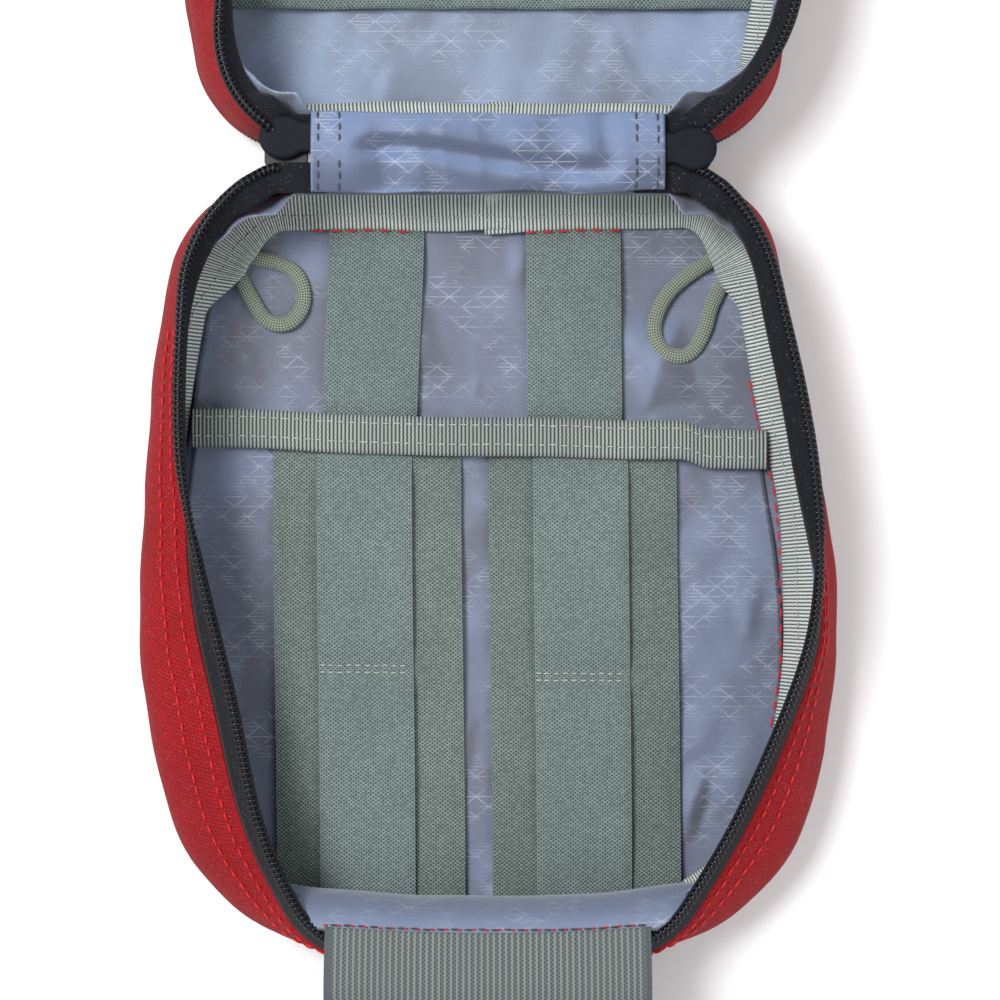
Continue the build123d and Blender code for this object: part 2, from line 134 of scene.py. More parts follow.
def waves(x, y, seed, shortest, longest, count=7, crease=0.0):
    """Smooth random hills between -1 and 1. crease sharpens their tops into folds."""
    draw = np.random.RandomState(seed)
    total = 0
    for _ in range(count):
        angle, phase = draw.uniform(0, TAU), draw.uniform(0, TAU)
        length = draw.uniform(shortest, longest)
        across = (x * math.cos(angle) + y * math.sin(angle)) * TAU / length + phase
        hill = np.sin(across)
        fold = 1 - 2 * np.abs(np.sin(across / 2))
        total = total + lerp(hill, fold, crease)
    return total / math.sqrt(count) / 1.5


# ---- outlines ------------------------------------------------------------------------------
def rounded(corners, closed):
    """Polyline through corners, each rounded by its radius."""
    points = []
    count = len(corners)
    for i, (x, y, radius) in enumerate(corners):
        if radius == 0:
            points.append((x, y))
            continue
        here = np.array((x, y))
        before = here - np.array(corners[i - 1][:2])
        after = np.array(corners[(i + 1) % count][:2]) - here
        before, after = before / np.linalg.norm(before), after / np.linalg.norm(after)
        cross = before[0] * after[1] - before[1] * after[0]
        turn = math.atan2(cross, before @ after)
        reach = radius * math.tan(abs(turn) / 2)
        side = 1 if cross > 0 else -1
        start = here - before * reach
        centre = start + radius * side * np.array((-before[1], before[0]))
        first = math.atan2(*(start - centre)[::-1])
        for step in range(25):
            angle = first + turn * step / 24
            points.append(tuple(centre + radius * np.array((math.cos(angle), math.sin(angle)))))
    if closed:
        points.append(points[0])
    return np.array(points)


def both_sides(corners):
    return corners + [(-x, y, r) for x, y, r in reversed(corners)]


def along(line, distances):
    """Points at these distances along a polyline."""
    steps = np.linalg.norm(np.diff(line, axis=0), axis=1)
    total = np.concatenate([[0], np.cumsum(steps)])
    return np.stack([np.interp(distances, total, line[:, k]) for k in range(line.shape[1])], 1)


def length_of(line):
    return float(np.linalg.norm(np.diff(line, axis=0), axis=1).sum())


def inward(run):
    """Unit vectors that point into the case from a clockwise outline, which runs this way."""
    run = unit(run)
    return np.stack([run[:, 1], -run[:, 0]], 1)


def ring(corners, shares):
    """Points and inward normals at these shares of a closed outline, from the hinge's middle, clockwise."""
    line = rounded([(0.0, corners[0][1], 0.0)] + both_sides(corners), True)
    total = length_of(line)
    here, after, before = (along(line, ((shares + step) % 1.0) * total) for step in (0, 0.002, -0.002))
    return here, inward(after - before), total


# ---- the two halves ------------------------------------------------------------------------
class Half:
    def __init__(self, name, body, floor_z, is_lid):
        self.name = name
        self.body = body
        self.floor_z = floor_z
        self.is_lid = is_lid
        self.seed = 40 if is_lid else 0

    def lean(self, points):
        """The soft case isn't symmetric: its rim leans right, and its wall bulges left near the hinge."""
        x, y, z = points[..., 0], points[..., 1], points[..., 2]
        side = np.tanh(x / 12)
        high = ease(z, 26, 42)
        low = ease(z, 7, 18) * (1 - high)
        if self.is_lid:
            rim = 6.0 * ease(-y, -100, -55) * ease(y, -100, -50) - 2.1 * side
            wall = -3.4 * side
        else:
            rim = 6.4 * bell(y + 18, 44) - 2.2 * bell(y - 80, 26)
            rim = rim + side * (1.7 * bell(y - 42, 30) - 1.8 * bell(y + 38, 24))
            wall = -4.3 * bell(y - 58, 32)
        moved = points.copy()
        moved[..., 0] = x + rim * high + wall * low
        return moved

    def place(self, points):
        """From the base's way of lying to where this half lies."""
        placed = self.lean(np.asarray(points, float))
        if self.is_lid:
            placed[..., 1] = 2 * HINGE_Y - placed[..., 1]
        return placed

    def skin(self, name, top, under, uv, closed=True):
        """Skin of this half, between two grids that are laid out as in the base."""
        return shell(self.name + name, self.place(top), self.place(under), uv, closed)

    def floor_top(self, x, y):
        """Height of the floor's lining."""
        rise = waves(x, y, 11 + self.seed, 30, 80, 7) * 0.9 + 0.9
        folds = np.maximum(waves(x, y, 12 + self.seed, 22, 52, 6, 0.8), 0) * 3.0
        small = waves(x, y, 13 + self.seed, 10, 22, 6, 0.4) * 0.28
        return self.floor_z + INSIDE_Z + np.maximum(rise + folds + small, 0.1)


BASE = Half("base", "base", BASE_FLOOR_Z, False)
LID = Half("lid", "lid", 0.0, True)


# ---- mesh helpers --------------------------------------------------------------------------
def face_outwards(mesh, weld=0.0):
    """Turns all faces outwards, after joining points that are within weld metres."""
    work = bmesh.new()
    work.from_mesh(mesh)
    if weld:
        bmesh.ops.remove_doubles(work, verts=work.verts, dist=weld)
    bmesh.ops.recalc_face_normals(work, faces=work.faces)
    work.to_mesh(mesh)
    work.free()


def mesh_object(name, vertices, faces, uvs=None):
    mesh = bpy.data.meshes.new(name)
    mesh.from_pydata((np.asarray(vertices) * MM).tolist(), [], faces)
    if uvs is not None:
        layer = mesh.uv_layers.new(name="UVMap")
        layer.data.foreach_set("uv", np.asarray(uvs, np.float32).ravel() * UV_PER_MM)
    face_outwards(mesh)
    mesh.polygons.foreach_set("use_smooth", [True] * len(mesh.polygons))
    piece = bpy.data.objects.new(name, mesh)
    bpy.context.scene.collection.objects.link(piece)
    return piece


def shell(name, top, under, uv, closed=False):
    """Closed skin between two grids of points. uv is in mm, with one more row than the grid if closed."""
    rows, columns = top.shape[:2]
    vertices = np.concatenate([top.reshape(-1, 3), under.reshape(-1, 3)])
    half = rows * columns
    faces, uvs = [], []

    def at(i, j, low):
        return (i % rows) * columns + j + (half if low else 0)

    def add(corners):
        faces.append([at(*c) for c in corners])
        uvs.extend(uv[i, j] for i, j, _ in corners)

    last_row = rows if closed else rows - 1
    for i in range(last_row):
        for j in range(columns - 1):
            square = [(i, j), (i + 1, j), (i + 1, j + 1), (i, j + 1)]
            add([(a, b, False) for a, b in square])
            add([(a, b, True) for a, b in reversed(square)])
        for j in (0, columns - 1):
            add([(i, j, False), (i + 1, j, False), (i + 1, j, True), (i, j, True)])
    if not closed:
        for i in (0, rows - 1):
            for j in range(columns - 1):
                add([(i, j, False), (i, j + 1, False), (i, j + 1, True), (i, j, True)])
    return mesh_object(name, vertices, faces, uvs)


def thinned(v, power):
    """Share of the full thickness across a strip, 0 at its two edges. v goes from -1 to 1."""
    return (1 - np.abs(v) ** power) ** 0.5


def two_faces(x, y, middle_z, half_thick):
    """Top and under grids of a strip."""
    return [np.stack([x, y, middle_z + way * half_thick], 2) for way in (1, -1)]


def raised(flat, z):
    """Flat points, each at its own height."""
    return np.concatenate([flat, z[..., None]], -1)


def lowered(top, thickness):
    """The same grid, lower by a thickness."""
    under = top.copy()
    under[..., 2] -= thickness
    return under


def strip_uv(lengthways, width, columns):
    """UV grid, in mm, of a strip whose rows are at these lengths."""
    uv = np.zeros((len(lengthways), columns, 2))
    uv[..., 0] = lengthways[:, None]
    uv[..., 1] = np.linspace(0, width, columns)
    return uv


def grid_normals(points):
    return unit(np.cross(np.gradient(points, axis=0), np.gradient(points, axis=1)))


def tubes(name, grids, uv=None):
    """One mesh of many capped tubes. Each grid is rows of points round the tube."""
    vertices, faces, uvs, first = [], [], [], 0
    for grid in grids:
        rows, sides = grid.shape[:2]
        vertices.append(grid.reshape(-1, 3))
        for i in range(rows - 1):
            for j in range(sides):
                k = (j + 1) % sides
                faces.append([first + a * sides + b for a, b in ((i, j), (i + 1, j), (i + 1, k), (i, k))])
                if uv is not None:
                    uvs.extend(uv[a, b] for a, b in ((i, j), (i + 1, j), (i + 1, j + 1), (i, j + 1)))
        for i in (0, rows - 1):
            faces.append([first + i * sides + j for j in range(sides)])
            if uv is not None:
                uvs.extend(uv[i, j] for j in range(sides))
        first += rows * sides
    return mesh_object(name, np.concatenate(vertices), faces, uvs if uv is not None else None)


def round_grid(path, radius, sides):
    """Points round a path. radius is one number or a rows by sides array."""
    run = unit(np.gradient(path, axis=0))
    side = unit(np.cross(run, (0, 0, 1.0)))
    up = np.cross(side, run)
    angles = np.arange(sides) * TAU / sides
    radius = np.broadcast_to(radius, (len(path), sides))[..., None]
    circle = side[:, None] * np.cos(angles)[None, :, None] + up[:, None] * np.sin(angles)[None, :, None]
    return path[:, None] + circle * radius


def stitches(path, step, length, radius, lift=0.0, seed=1):
    """Grids for a row of thread stitches that lie along a path."""
    draw = np.random.RandomState(seed)
    total = length_of(path)
    grids = []
    for k in range(int(total / step)):
        start = k * step + draw.uniform(0, 0.12) * step
        if start + length > total:
            break
        line = along(path, start + np.linspace(0, length, 5))
        line[:, 2] += lift + np.sin(np.linspace(0, math.pi, 5)) * radius * 0.9
        line[:, :2] += draw.uniform(-0.12, 0.12, 2)
        shape = np.array([0.35, 0.9, 1.0, 0.9, 0.35])[:, None] * radius
        grids.append(round_grid(line, np.broadcast_to(shape, (5, 6)), 6))
    return grids


def paint(thing, material):
    thing.data.materials.clear()
    thing.data.materials.append(material)


def piece(thing, body, material, slot, *replaced):
    """Gives a finished piece its body, its material and the nodes that it stands for."""
    paint(thing, material)
    if body:
        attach(thing, body)
    if replaced:
        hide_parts(*replaced)
    return thing


# ---- camera --------------------------------------------------------------------------------
CAMERA_AT = (3.0, 17.3, 700.0)
CAMERA_LENS = 95.5
camera_data = bpy.data.cameras.new("camera")
camera_data.sensor_width = 36.0
camera_data.lens = CAMERA_LENS
camera = bpy.data.objects.new("camera", camera_data)
camera.location = [value * MM for value in CAMERA_AT]
bpy.context.scene.collection.objects.link(camera)
bpy.context.scene.camera = camera


# ---- shader helpers ------------------------------------------------------------------------
class Shader:
    """Small helper that adds nodes to one material or node group."""

    def __init__(self, tree):
        self.tree = tree

    def add(self, kind, inputs=(), **settings):
        made = self.tree.nodes.new(kind)
        for key, value in settings.items():
            setattr(made, key, value)
        for key, value in dict(inputs).items():
            self.put(made.inputs[key], value)
        return made

    def put(self, socket, value):
        if isinstance(value, bpy.types.NodeSocket):
            self.tree.links.new(value, socket)
        else:
            socket.default_value = value

    def math(self, operation, a, b=0.0, c=0.0):
        return self.add("ShaderNodeMath", {0: a, 1: b, 2: c}, operation=operation).outputs[0]

    def times(self, a, b):
        return self.math("MULTIPLY", a, b)

    def split(self, vector):
        return self.add("ShaderNodeSeparateXYZ", {0: vector}).outputs

    def noise(self, place, scale, detail):
        inputs = {"Vector": place, "Scale": scale, "Detail": detail}
        return self.add("ShaderNodeTexNoise", inputs).outputs[0]

    def ramp(self, value, low, high):
        """0 to 1 as value goes from low to high, smoothly."""
        made = self.add("ShaderNodeMapRange", {"Value": value, "From Min": low, "From Max": high})
        made.interpolation_type = "SMOOTHSTEP"
        return made.outputs["Result"]

    def mix(self, share, a, b):
        """Mixes two colours. Each is a socket, or a screen colour from 0 to 255."""
        made = self.add("ShaderNodeMix", data_type="RGBA")
        self.put(made.inputs["Factor"], share)
        for name, colour in (("A", a), ("B", b)):
            socket = [s for s in made.inputs if s.name == name and s.type == "RGBA"][0]
            self.put(socket, linear(*colour) if isinstance(colour, tuple) else colour)
        return [s for s in made.outputs if s.type == "RGBA"][0]

    def group(self, tree, inputs):
        made = self.add("ShaderNodeGroup", node_tree=tree)
        for key, value in inputs.items():
            self.put(made.inputs[key], value)
        return made

    def use(self, **size):
        """Tone and Dust of the signs of use."""
        return self.group(USE, {"Place": self.add("ShaderNodeTexCoord").outputs["Object"], **size}).outputs

    def cloth_place(self):
        """Position on the cloth in millimetres, from its UV map."""
        inputs = {0: self.add("ShaderNodeUVMap").outputs["UV"], "Scale": 1 / UV_PER_MM}
        return self.add("ShaderNodeVectorMath", inputs, operation="SCALE").outputs[0]


def new_group(name, numbers, outputs):
    """Node group that takes a Place and these numbers."""
    tree = bpy.data.node_groups.new(name, "ShaderNodeTree")
    tree.interface.new_socket("Place", in_out="INPUT", socket_type="NodeSocketVector")
    for key, value in numbers.items():
        socket = tree.interface.new_socket(key, in_out="INPUT", socket_type="NodeSocketFloat")
        socket.default_value = value
    for key in outputs:
        tree.interface.new_socket(key, in_out="OUTPUT", socket_type="NodeSocketFloat")
    shader = Shader(tree)
    return tree, shader, shader.add("NodeGroupInput").outputs, shader.add("NodeGroupOutput").inputs


def make_weave():
    """Crossing threads, each half a pitch wide: their bumps, and a random number for each."""
    sizes = {"Pitch X": 1.0, "Pitch Y": 1.0}
    tree, s, given, out = new_group("woven threads", sizes, ["Height", "Thread"])
    split = s.split(given["Place"])
    across = s.math("DIVIDE", split[0], given["Pitch X"])
    along_it = s.math("DIVIDE", split[1], given["Pitch Y"])
    x = s.math("SINE", s.times(across, TAU))
    y = s.math("SINE", s.times(along_it, TAU))
    s.put(out["Height"], s.math("MULTIPLY_ADD", s.times(x, y), 0.5, 0.5))
    halves = [s.math("FLOOR", s.times(share, 2.0)) for share in (across, along_it)]
    cell = s.add("ShaderNodeCombineXYZ", dict(enumerate(halves))).outputs[0]
    s.put(out["Thread"], s.add("ShaderNodeTexWhiteNoise", {"Vector": cell}).outputs["Value"])
    return tree


def make_ribs():
    """Ridges across X, 1 on a crest and 0 in a gap."""
    tree, s, given, out = new_group("ribs", {"Pitch": 1.0}, ["Height"])
    x = s.split(given["Place"])[0]
    turn = s.math("COSINE", s.times(s.math("DIVIDE", x, given["Pitch"]), TAU))
    s.put(out["Height"], s.math("MULTIPLY_ADD", turn, 0.5, 0.5))
    return tree


def make_triangles():
    """Thin lines of a triangle lattice, the cloth's print, which show only in patches: the patches are a
    painted sheen.
    """
    tree, s, given, out = new_group("triangle lines", {"Width": 6.6, "Height": 2.6}, ["Lines"])
    split = s.split(given["Place"])
    across = s.math("DIVIDE", split[0], given["Width"])
    up = s.math("DIVIDE", split[1], given["Height"])
    half_up = s.times(up, 0.5)
    families = (up, s.math("ADD", half_up, across), s.math("SUBTRACT", half_up, across))
    line = None
    for family, width in zip(families, (0.07, 0.045, 0.045)):
        away = s.math("PINGPONG", family, 0.5)
        mask = s.math("SUBTRACT", 1.0, s.ramp(away, width * 0.3, width))
        line = mask if line is None else s.math("MAXIMUM", line, mask)
    # patches where the print shows: painted sheen on the cloth
    sheen_patch = s.noise(given["Place"], 0.055, 2.0)
    fine = s.noise(given["Place"], 0.22, 1.0)
    shown = s.times(s.ramp(sheen_patch, 0.42, 0.62), s.ramp(fine, 0.3, 0.6))
    hatch = s.math("SUBTRACT", 1.0, s.ramp(s.math("PINGPONG", s.times(up, 3.0), 0.5), 0.1, 0.26))
    coarse = s.noise(given["Place"], 0.16, 0.0)
    filled = s.times(hatch, s.ramp(coarse, 0.56, 0.66))
    both = s.math("MAXIMUM", line, s.times(filled, 0.7))
    s.put(out["Lines"], s.times(both, shown))
    return tree


def make_use():
    """Uneven dye and dust: Tone varies over centimetres, Dust in specks."""
    tree, s, given, out = new_group("signs of use", {"Size": 45.0}, ["Tone", "Dust"])
    tone = s.noise(given["Place"], given["Size"], 4.0)
    speck = s.noise(given["Place"], 1400.0, 2.0)
    s.put(out["Tone"], s.ramp(tone, 0.3, 0.7))
    s.put(out["Dust"], s.ramp(speck, 0.62, 0.78))
    return tree


WEAVE, RIBS, TRIANGLES, USE = make_weave(), make_ribs(), make_triangles(), make_use()


def new_material(name, roughness, sheen=0.0, gloss=0.3):
    made = bpy.data.materials.new(name)
    made.use_nodes = True
    shader = Shader(made.node_tree)
    body = made.node_tree.nodes["Principled BSDF"]
    for key, value in (("Roughness", roughness), ("Sheen Weight", sheen),
                       ("Sheen Roughness", 0.4), ("Specular IOR Level", gloss)):
        body.inputs[key].default_value = value
    return made, shader, body


def finish(shader, body, colour, height, depth_mm):
    """Joins the colour, and a bump that deep, to the surface."""
    shader.put(body.inputs["Base Color"], colour)
    made = shader.add("ShaderNodeBump", {"Height": height, "Distance": depth_mm * MM})
    made.inputs["Strength"].default_value = 1.0
    shader.put(body.inputs["Normal"], made.outputs["Normal"])


def woven(name, light, dark, pitch, depth, roughness=0.85, sheen=0.15, uneven=0.25, cover=0.62):
    """Cloth whose threads show: light on the threads, dark between them. cover is the threads' share."""
    made, s, body = new_material(name, roughness, sheen)
    place = s.cloth_place()
    weave = s.group(WEAVE, {"Place": place, "Pitch X": pitch[0], "Pitch Y": pitch[1]}).outputs
    threads = weave["Height"]
    use = s.use()
    uneven_thread = s.math("MULTIPLY_ADD", weave["Thread"], 0.45, 0.6)
    shown = s.times(s.ramp(threads, 0.62 - cover, 1.1 - cover), uneven_thread)
    colour = s.mix(shown, dark, light)
    tired = s.mix(s.times(use["Tone"], uneven), colour, dark)
    dusty = s.mix(s.times(use["Dust"], 0.12), tired, (205, 205, 200))
    finish(s, body, dusty, threads, depth)
    return made


def ribbed(name, light, dark, pitch, thread_pitch, roughness=0.8):
    """Grosgrain: the ribs are in the mesh, and the threads that cross them are here."""
    made, s, body = new_material(name, roughness, 0.1)
    place = s.cloth_place()
    ribs = s.group(RIBS, {"Place": place, "Pitch": pitch}).outputs[0]
    threads = s.group(WEAVE, {"Place": place, "Pitch X": pitch, "Pitch Y": thread_pitch}).outputs[0]
    use = s.use()
    # painted shade: darker in the gaps between the ribs, which the mesh also has, and between the threads
    # that cross them
    colour = s.mix(s.ramp(ribs, 0.12, 0.7), dark, light)
    shaded = s.mix(s.times(s.math("SUBTRACT", 1.0, threads), 0.35), colour, dark)
    tired = s.mix(s.times(use["Tone"], 0.22), shaded, dark)
    finish(s, body, tired, threads, 0.12)
    return made


def make_lining(name, shaded_grey, blue):
    """Thin cloth with a triangle print. Its colour is painted light and shade: blue where its surface faces
    one way and darker grey where it faces the other, so its folds look lit on one side and shaded on the
    other; the print's pale lines show in patches, a painted sheen.
    """
    made, s, body = new_material(name, 0.42, 0.25)
    place = s.cloth_place()
    lines = s.group(TRIANGLES, {"Place": place}).outputs[0]
    twill = s.group(WEAVE, {"Place": place, "Pitch X": 0.62, "Pitch Y": 0.9}).outputs[0]
    use = s.use(Size=24.0)
    # painted light and shade: blue where the surface faces one way, darker grey where it faces the other
    tilt = s.split(s.add("ShaderNodeTexCoord").outputs["Normal"])
    turned = s.math("ADD", s.times(tilt[0], -1.6), s.times(tilt[1], 1.3))
    painted_light_share = s.ramp(s.math("ADD", turned, s.times(use["Tone"], 0.5)), -0.15, 0.7)
    lit_and_shaded_ground = s.mix(painted_light_share, shaded_grey, blue)
    fine = s.mix(s.times(s.math("SUBTRACT", 1.0, twill), 0.3), lit_and_shaded_ground, (78, 82, 98))
    shown = s.mix(s.times(lines, 0.34), fine, (200, 206, 216))
    s.put(body.inputs["Roughness"], s.math("MULTIPLY_ADD", lines, -0.1, 0.44))
    finish(s, body, shown, twill, 0.06)
    return made


def make_flap_webbing():
    made, s, body = new_material("flap webbing", 0.8, 0.1)
    place = s.cloth_place()
    split = s.split(place)
    turned = s.add("ShaderNodeCombineXYZ", {0: split[1], 1: split[0]}).outputs[0]
    ribs = s.group(RIBS, {"Place": turned, "Pitch": FLAP_RIB}).outputs[0]
    threads = s.group(WEAVE, {"Place": place, "Pitch X": 1.1, "Pitch Y": FLAP_RIB}).outputs[0]
    use = s.use()
    gap = s.mix(s.ramp(threads, 0.25, 0.75), (62, 71, 77), (100, 111, 119))
    colour = s.mix(s.ramp(ribs, 0.5, 0.8), gap, (124, 127, 115))
    edge = s.ramp(s.math("ABSOLUTE", split[1]), 38.4, 38.9)
    bordered = s.mix(edge, colour, (78, 84, 86))
    tired = s.mix(s.times(use["Tone"], 0.15), bordered, (90, 98, 98))
    finish(s, body, tired, threads, 0.16)
    return made


def make_cord_cloth():
    made, s, body = new_material("braided cord", 0.75, 0.15)
    place = s.cloth_place()
    split = s.split(place)
    one = s.math("SINE", s.math("ADD", split[1], s.times(split[0], CORD_TURN)))
    two = s.math("SINE", s.math("SUBTRACT", split[1], s.times(split[0], CORD_TURN)))
    strands = s.math("MULTIPLY_ADD", s.times(one, two), 0.5, 0.5)
    use = s.use()
    colour = s.mix(s.ramp(strands, 0.18, 0.72), (74, 82, 76), (160, 168, 150))
    tired = s.mix(s.times(use["Tone"], 0.2), colour, (90, 98, 90))
    finish(s, body, tired, strands, 0.2)
    return made


def make_plain(name, colour, worn, roughness, grain, depth, gloss=0.3):
    """Moulded or enamelled surface with a fine grain and paler worn spots."""
    made, s, body = new_material(name, roughness, 0.0, gloss)
    use = s.use(Size=160.0)
    fine = s.noise(s.add("ShaderNodeTexCoord").outputs["Object"], grain, 3.0)
    s.put(body.inputs["Roughness"], s.math("MULTIPLY_ADD", fine, 0.25, roughness - 0.12))
    finish(s, body, s.mix(s.times(use["Tone"], 0.5), colour, worn), fine, depth)
    return made


RED = woven("red outer cloth", (164, 15, 24), (94, 5, 11), (1.15, 1.15), 0.24, 0.9, 0.02, 0.22, 0.56)
LINING = make_lining("lining cloth", (97, 99, 110), (118, 130, 156))
# The sleeve and the lid use copies of the lining cloth in other tones, as painted light and shade: the
# sleeve's grey is darker and its blue lighter, and the lid's colours are both lighter.
SLEEVE_LINING = make_lining("sleeve lining cloth", (78, 88, 112), (110, 128, 162))
LID_LINING = make_lining("lid lining cloth", (114, 121, 136), (142, 160, 189))
ELASTIC = woven("elastic", (131, 146, 144), (54, 66, 65), (1.27, 1.0), 0.3, 0.85, 0.08, 0.15, 0.55)
WIDE = woven("wide elastic", (130, 144, 138), (50, 60, 56), (1.27, 1.0), 0.28, 0.85, 0.08, 0.2, 0.52)
# The seam binding is the same grosgrain as the pocket binding, with lighter colours: painted light that
# makes up for the shade that falls on it.
BINDING = ribbed("seam binding", (220, 228, 222), (84, 90, 90), 1.0, 1.3)
POCKET_BINDING = ribbed("pocket binding", (170, 178, 172), (60, 66, 66), 1.0, 1.3)
RED_BINDING = ribbed("red binding", (120, 16, 26), (50, 4, 10), 1.0, 1.3)
BLACK_BINDING = ribbed("black binding", (42, 42, 46), (10, 10, 12), 1.0, 1.3)
TAPE = woven("zipper tape", (21, 23, 31), (7, 8, 12), (0.9, 0.7), 0.12, 0.9, 0.05, 0.1)
COIL = make_plain("zipper coil", (14, 15, 20), (24, 26, 32), 0.28, 2500.0, 0.01)
RUBBER = make_plain("rubber tab", (12, 17, 26), (18, 23, 32), 0.62, 3800.0, 0.03, 0.14)
METAL = make_plain("black enamel", (9, 9, 11), (26, 26, 29), 0.4, 900.0, 0.02)
CORD_CLOTH = make_cord_cloth()
FLAP_CLOTH = make_flap_webbing()
RED_WEBBING = woven("red webbing", (150, 24, 34), (78, 8, 14), (1.4, 2.0), 0.3)
FOAM = make_plain("foam", (70, 70, 72), (84, 84, 86), 0.9, 1800.0, 0.2)
RED_THREAD, BLUE_THREAD, PALE_THREAD, DARK_THREAD = (
    make_plain(name + " thread", colour, worn, 0.7, 4000.0, 0.03)
    for name, colour, worn in (
        ("red", (206, 34, 40), (176, 24, 30)), ("blue", (112, 126, 156), (96, 108, 136)),
        ("pale", (176, 178, 168), (150, 152, 142)), ("dark", (60, 60, 56), (84, 84, 78)),
    )
)

# ---- cord loops ----------------------------------------------------------------------------
CORD_Z = box_mm("cord_loop_left")[0][2] + CORD_RADIUS
LEFT_CORD = [
    (-62.6, 80.6), (-55.6, 79.6), (-49.4, 76.4), (-47.4, 68.8),
    (-51.4, 62.8), (-57.8, 63.2), (-61.6, 69.4), (-65.0, 76.0),
]
RIGHT_CORD = [
    (59.4, 80.5), (52.2, 76.4), (45.6, 70.4), (42.4, 62.0),
    (45.4, 55.2), (52.2, 54.4), (56.4, 61.0), (58.0, 69.0), (63.1, 77.0),
]


def smooth_route(points):
    """Points of the smooth spline through a listed route, in mm."""
    curve = bpy.data.curves.new("route", "CURVE")
    curve.dimensions = "3D"
    curve.resolution_u = 24
    spline = curve.splines.new("NURBS")
    spline.points.add(len(points) - 1)
    for point, (x, y) in zip(spline.points, points):
        point.co = (x * MM, y * MM, CORD_Z * MM, 1.0)
    spline.order_u = 3
    spline.use_endpoint_u = True
    holder = bpy.data.objects.new("route", curve)
    bpy.context.scene.collection.objects.link(holder)
    line = bpy.data.meshes.new_from_object(holder)
    found = np.array([v.co for v in line.vertices]) / MM
    bpy.data.objects.remove(holder)
    bpy.data.meshes.remove(line)
    bpy.data.curves.remove(curve)
    return found


def cord_loop(name, route, node):
    line = smooth_route(route)
    total = length_of(line)
    rows, sides = int(total / 0.16), 64
    path = along(line, np.linspace(0, total, rows))
    distance = np.linspace(0, total, rows)[:, None]
    round_it = np.arange(sides)[None, :] * TAU / sides
    one = np.sin(round_it * CORD_STRANDS + distance * CORD_TURN)
    two = np.sin(round_it * CORD_STRANDS - distance * CORD_TURN)
    radius = CORD_RADIUS - 0.13 + 0.13 * one * two
    uv = np.zeros((rows, sides + 1, 2))
    uv[..., 0] = distance
    uv[..., 1] = np.arange(sides + 1)[None, :] * TAU / sides * CORD_STRANDS
    loop = tubes(name, [round_grid(path, radius, sides)], uv)
    piece(loop, "base", CORD_CLOTH, "cord", node)
    return total


for side, route in (("left", LEFT_CORD), ("right", RIGHT_CORD)):
    print("cord loop", side, round(cord_loop("braided_loop_" + side, route, "cord_loop_" + side), 1), "mm")


# ---- one half of the case ------------------------------------------------------------------
def tape_offset(half, points):
    """How far inwards of the coil the tape's sewn edge lies. Near the flap end it lies outwards."""
    x, y = points[:, 0], points[:, 1]
    side = 2.4 if half.is_lid else lerp(1.3, 3.9, ease(x, -20, 20))
    near_hinge = lerp(lerp(side, 3.6, ease(y, 58, 84)), 6.2, ease(y, 91, 96))
    return lerp(-3.6, near_hinge, ease(y, -22, 32))


def tape_drop(offset):
    """How far below the coil that edge lies, on a tape of fixed width."""
    return np.sqrt(np.maximum(TAPE_WIDTH ** 2 - offset ** 2, 4.0))


def under_hinge(points, start, end):
    """1 along the straight stretch that the hinge strip is sewn to, fading from end to start."""
    return near(points[:, 0], end, start) * ease(points[:, 1], 80, 92)


def wall(half, shares, heights, inset, wrinkle, seed, is_lining=False):
    """Grid on the wall, rows round the case and columns up from the floor. inset grows inwards."""
    low, _, _ = ring(FLOOR, shares)
    mid, normal, total = ring(BULGE, shares)
    high, high_normal, _ = ring(RIM, shares)
    offset = tape_offset(half, high)
    if is_lining:
        sewn = under_hinge(high, 53, 45)
        top_inset = np.maximum(COIL_INSET + offset - 0.6, 1.6)
        inside = ease(offset, -3, 1)
        top_z = COIL_LOW_Z - tape_drop(offset) * inside - 5.5 * (1 - inside) - 0.5
    else:
        sewn = under_hinge(high, 66, 54)
        top_inset = np.minimum(offset + 0.4, 0.8)
        top_z = COIL_LOW_Z - tape_drop(offset) - 0.3
    top_inset = lerp(top_inset, 0.8 if is_lining else -1.4, sewn)
    top_z = lerp(top_z, FOLD_Z - 0.6, sewn)
    top = high + high_normal * top_inset[:, None]
    rows = []
    for share_up in heights:
        z = lerp(half.floor_z + 0.6, top_z, share_up)
        lower = np.sin(np.clip((z - half.floor_z) / (BULGE_Z - half.floor_z), 0, 1) * math.pi / 2)
        upper = 1 - np.cos(np.clip((z - BULGE_Z) / (top_z - BULGE_Z), 0, 1) * math.pi / 2)
        flat = lerp(low, mid, lower[:, None])
        flat = lerp(flat, top, upper[:, None])
        amount = inset(share_up, mid) if callable(inset) else inset
        soft = waves(shares * total, z, seed, 22, 70, 8, 0.35) * wrinkle
        soft = soft * np.sin(np.clip(share_up, 0, 1) * math.pi) ** 0.6 * (1 - sewn)
        flat = flat + normal * np.reshape(amount - soft, (-1, 1))
        rows.append(raised(flat, z))
    return np.stack(rows, 1), total


def round_uv(shares, total, columns, height):
    """UV grid of a strip that closes on itself."""
    return strip_uv(np.append(shares, shares[0] + 1) * total, height, columns)


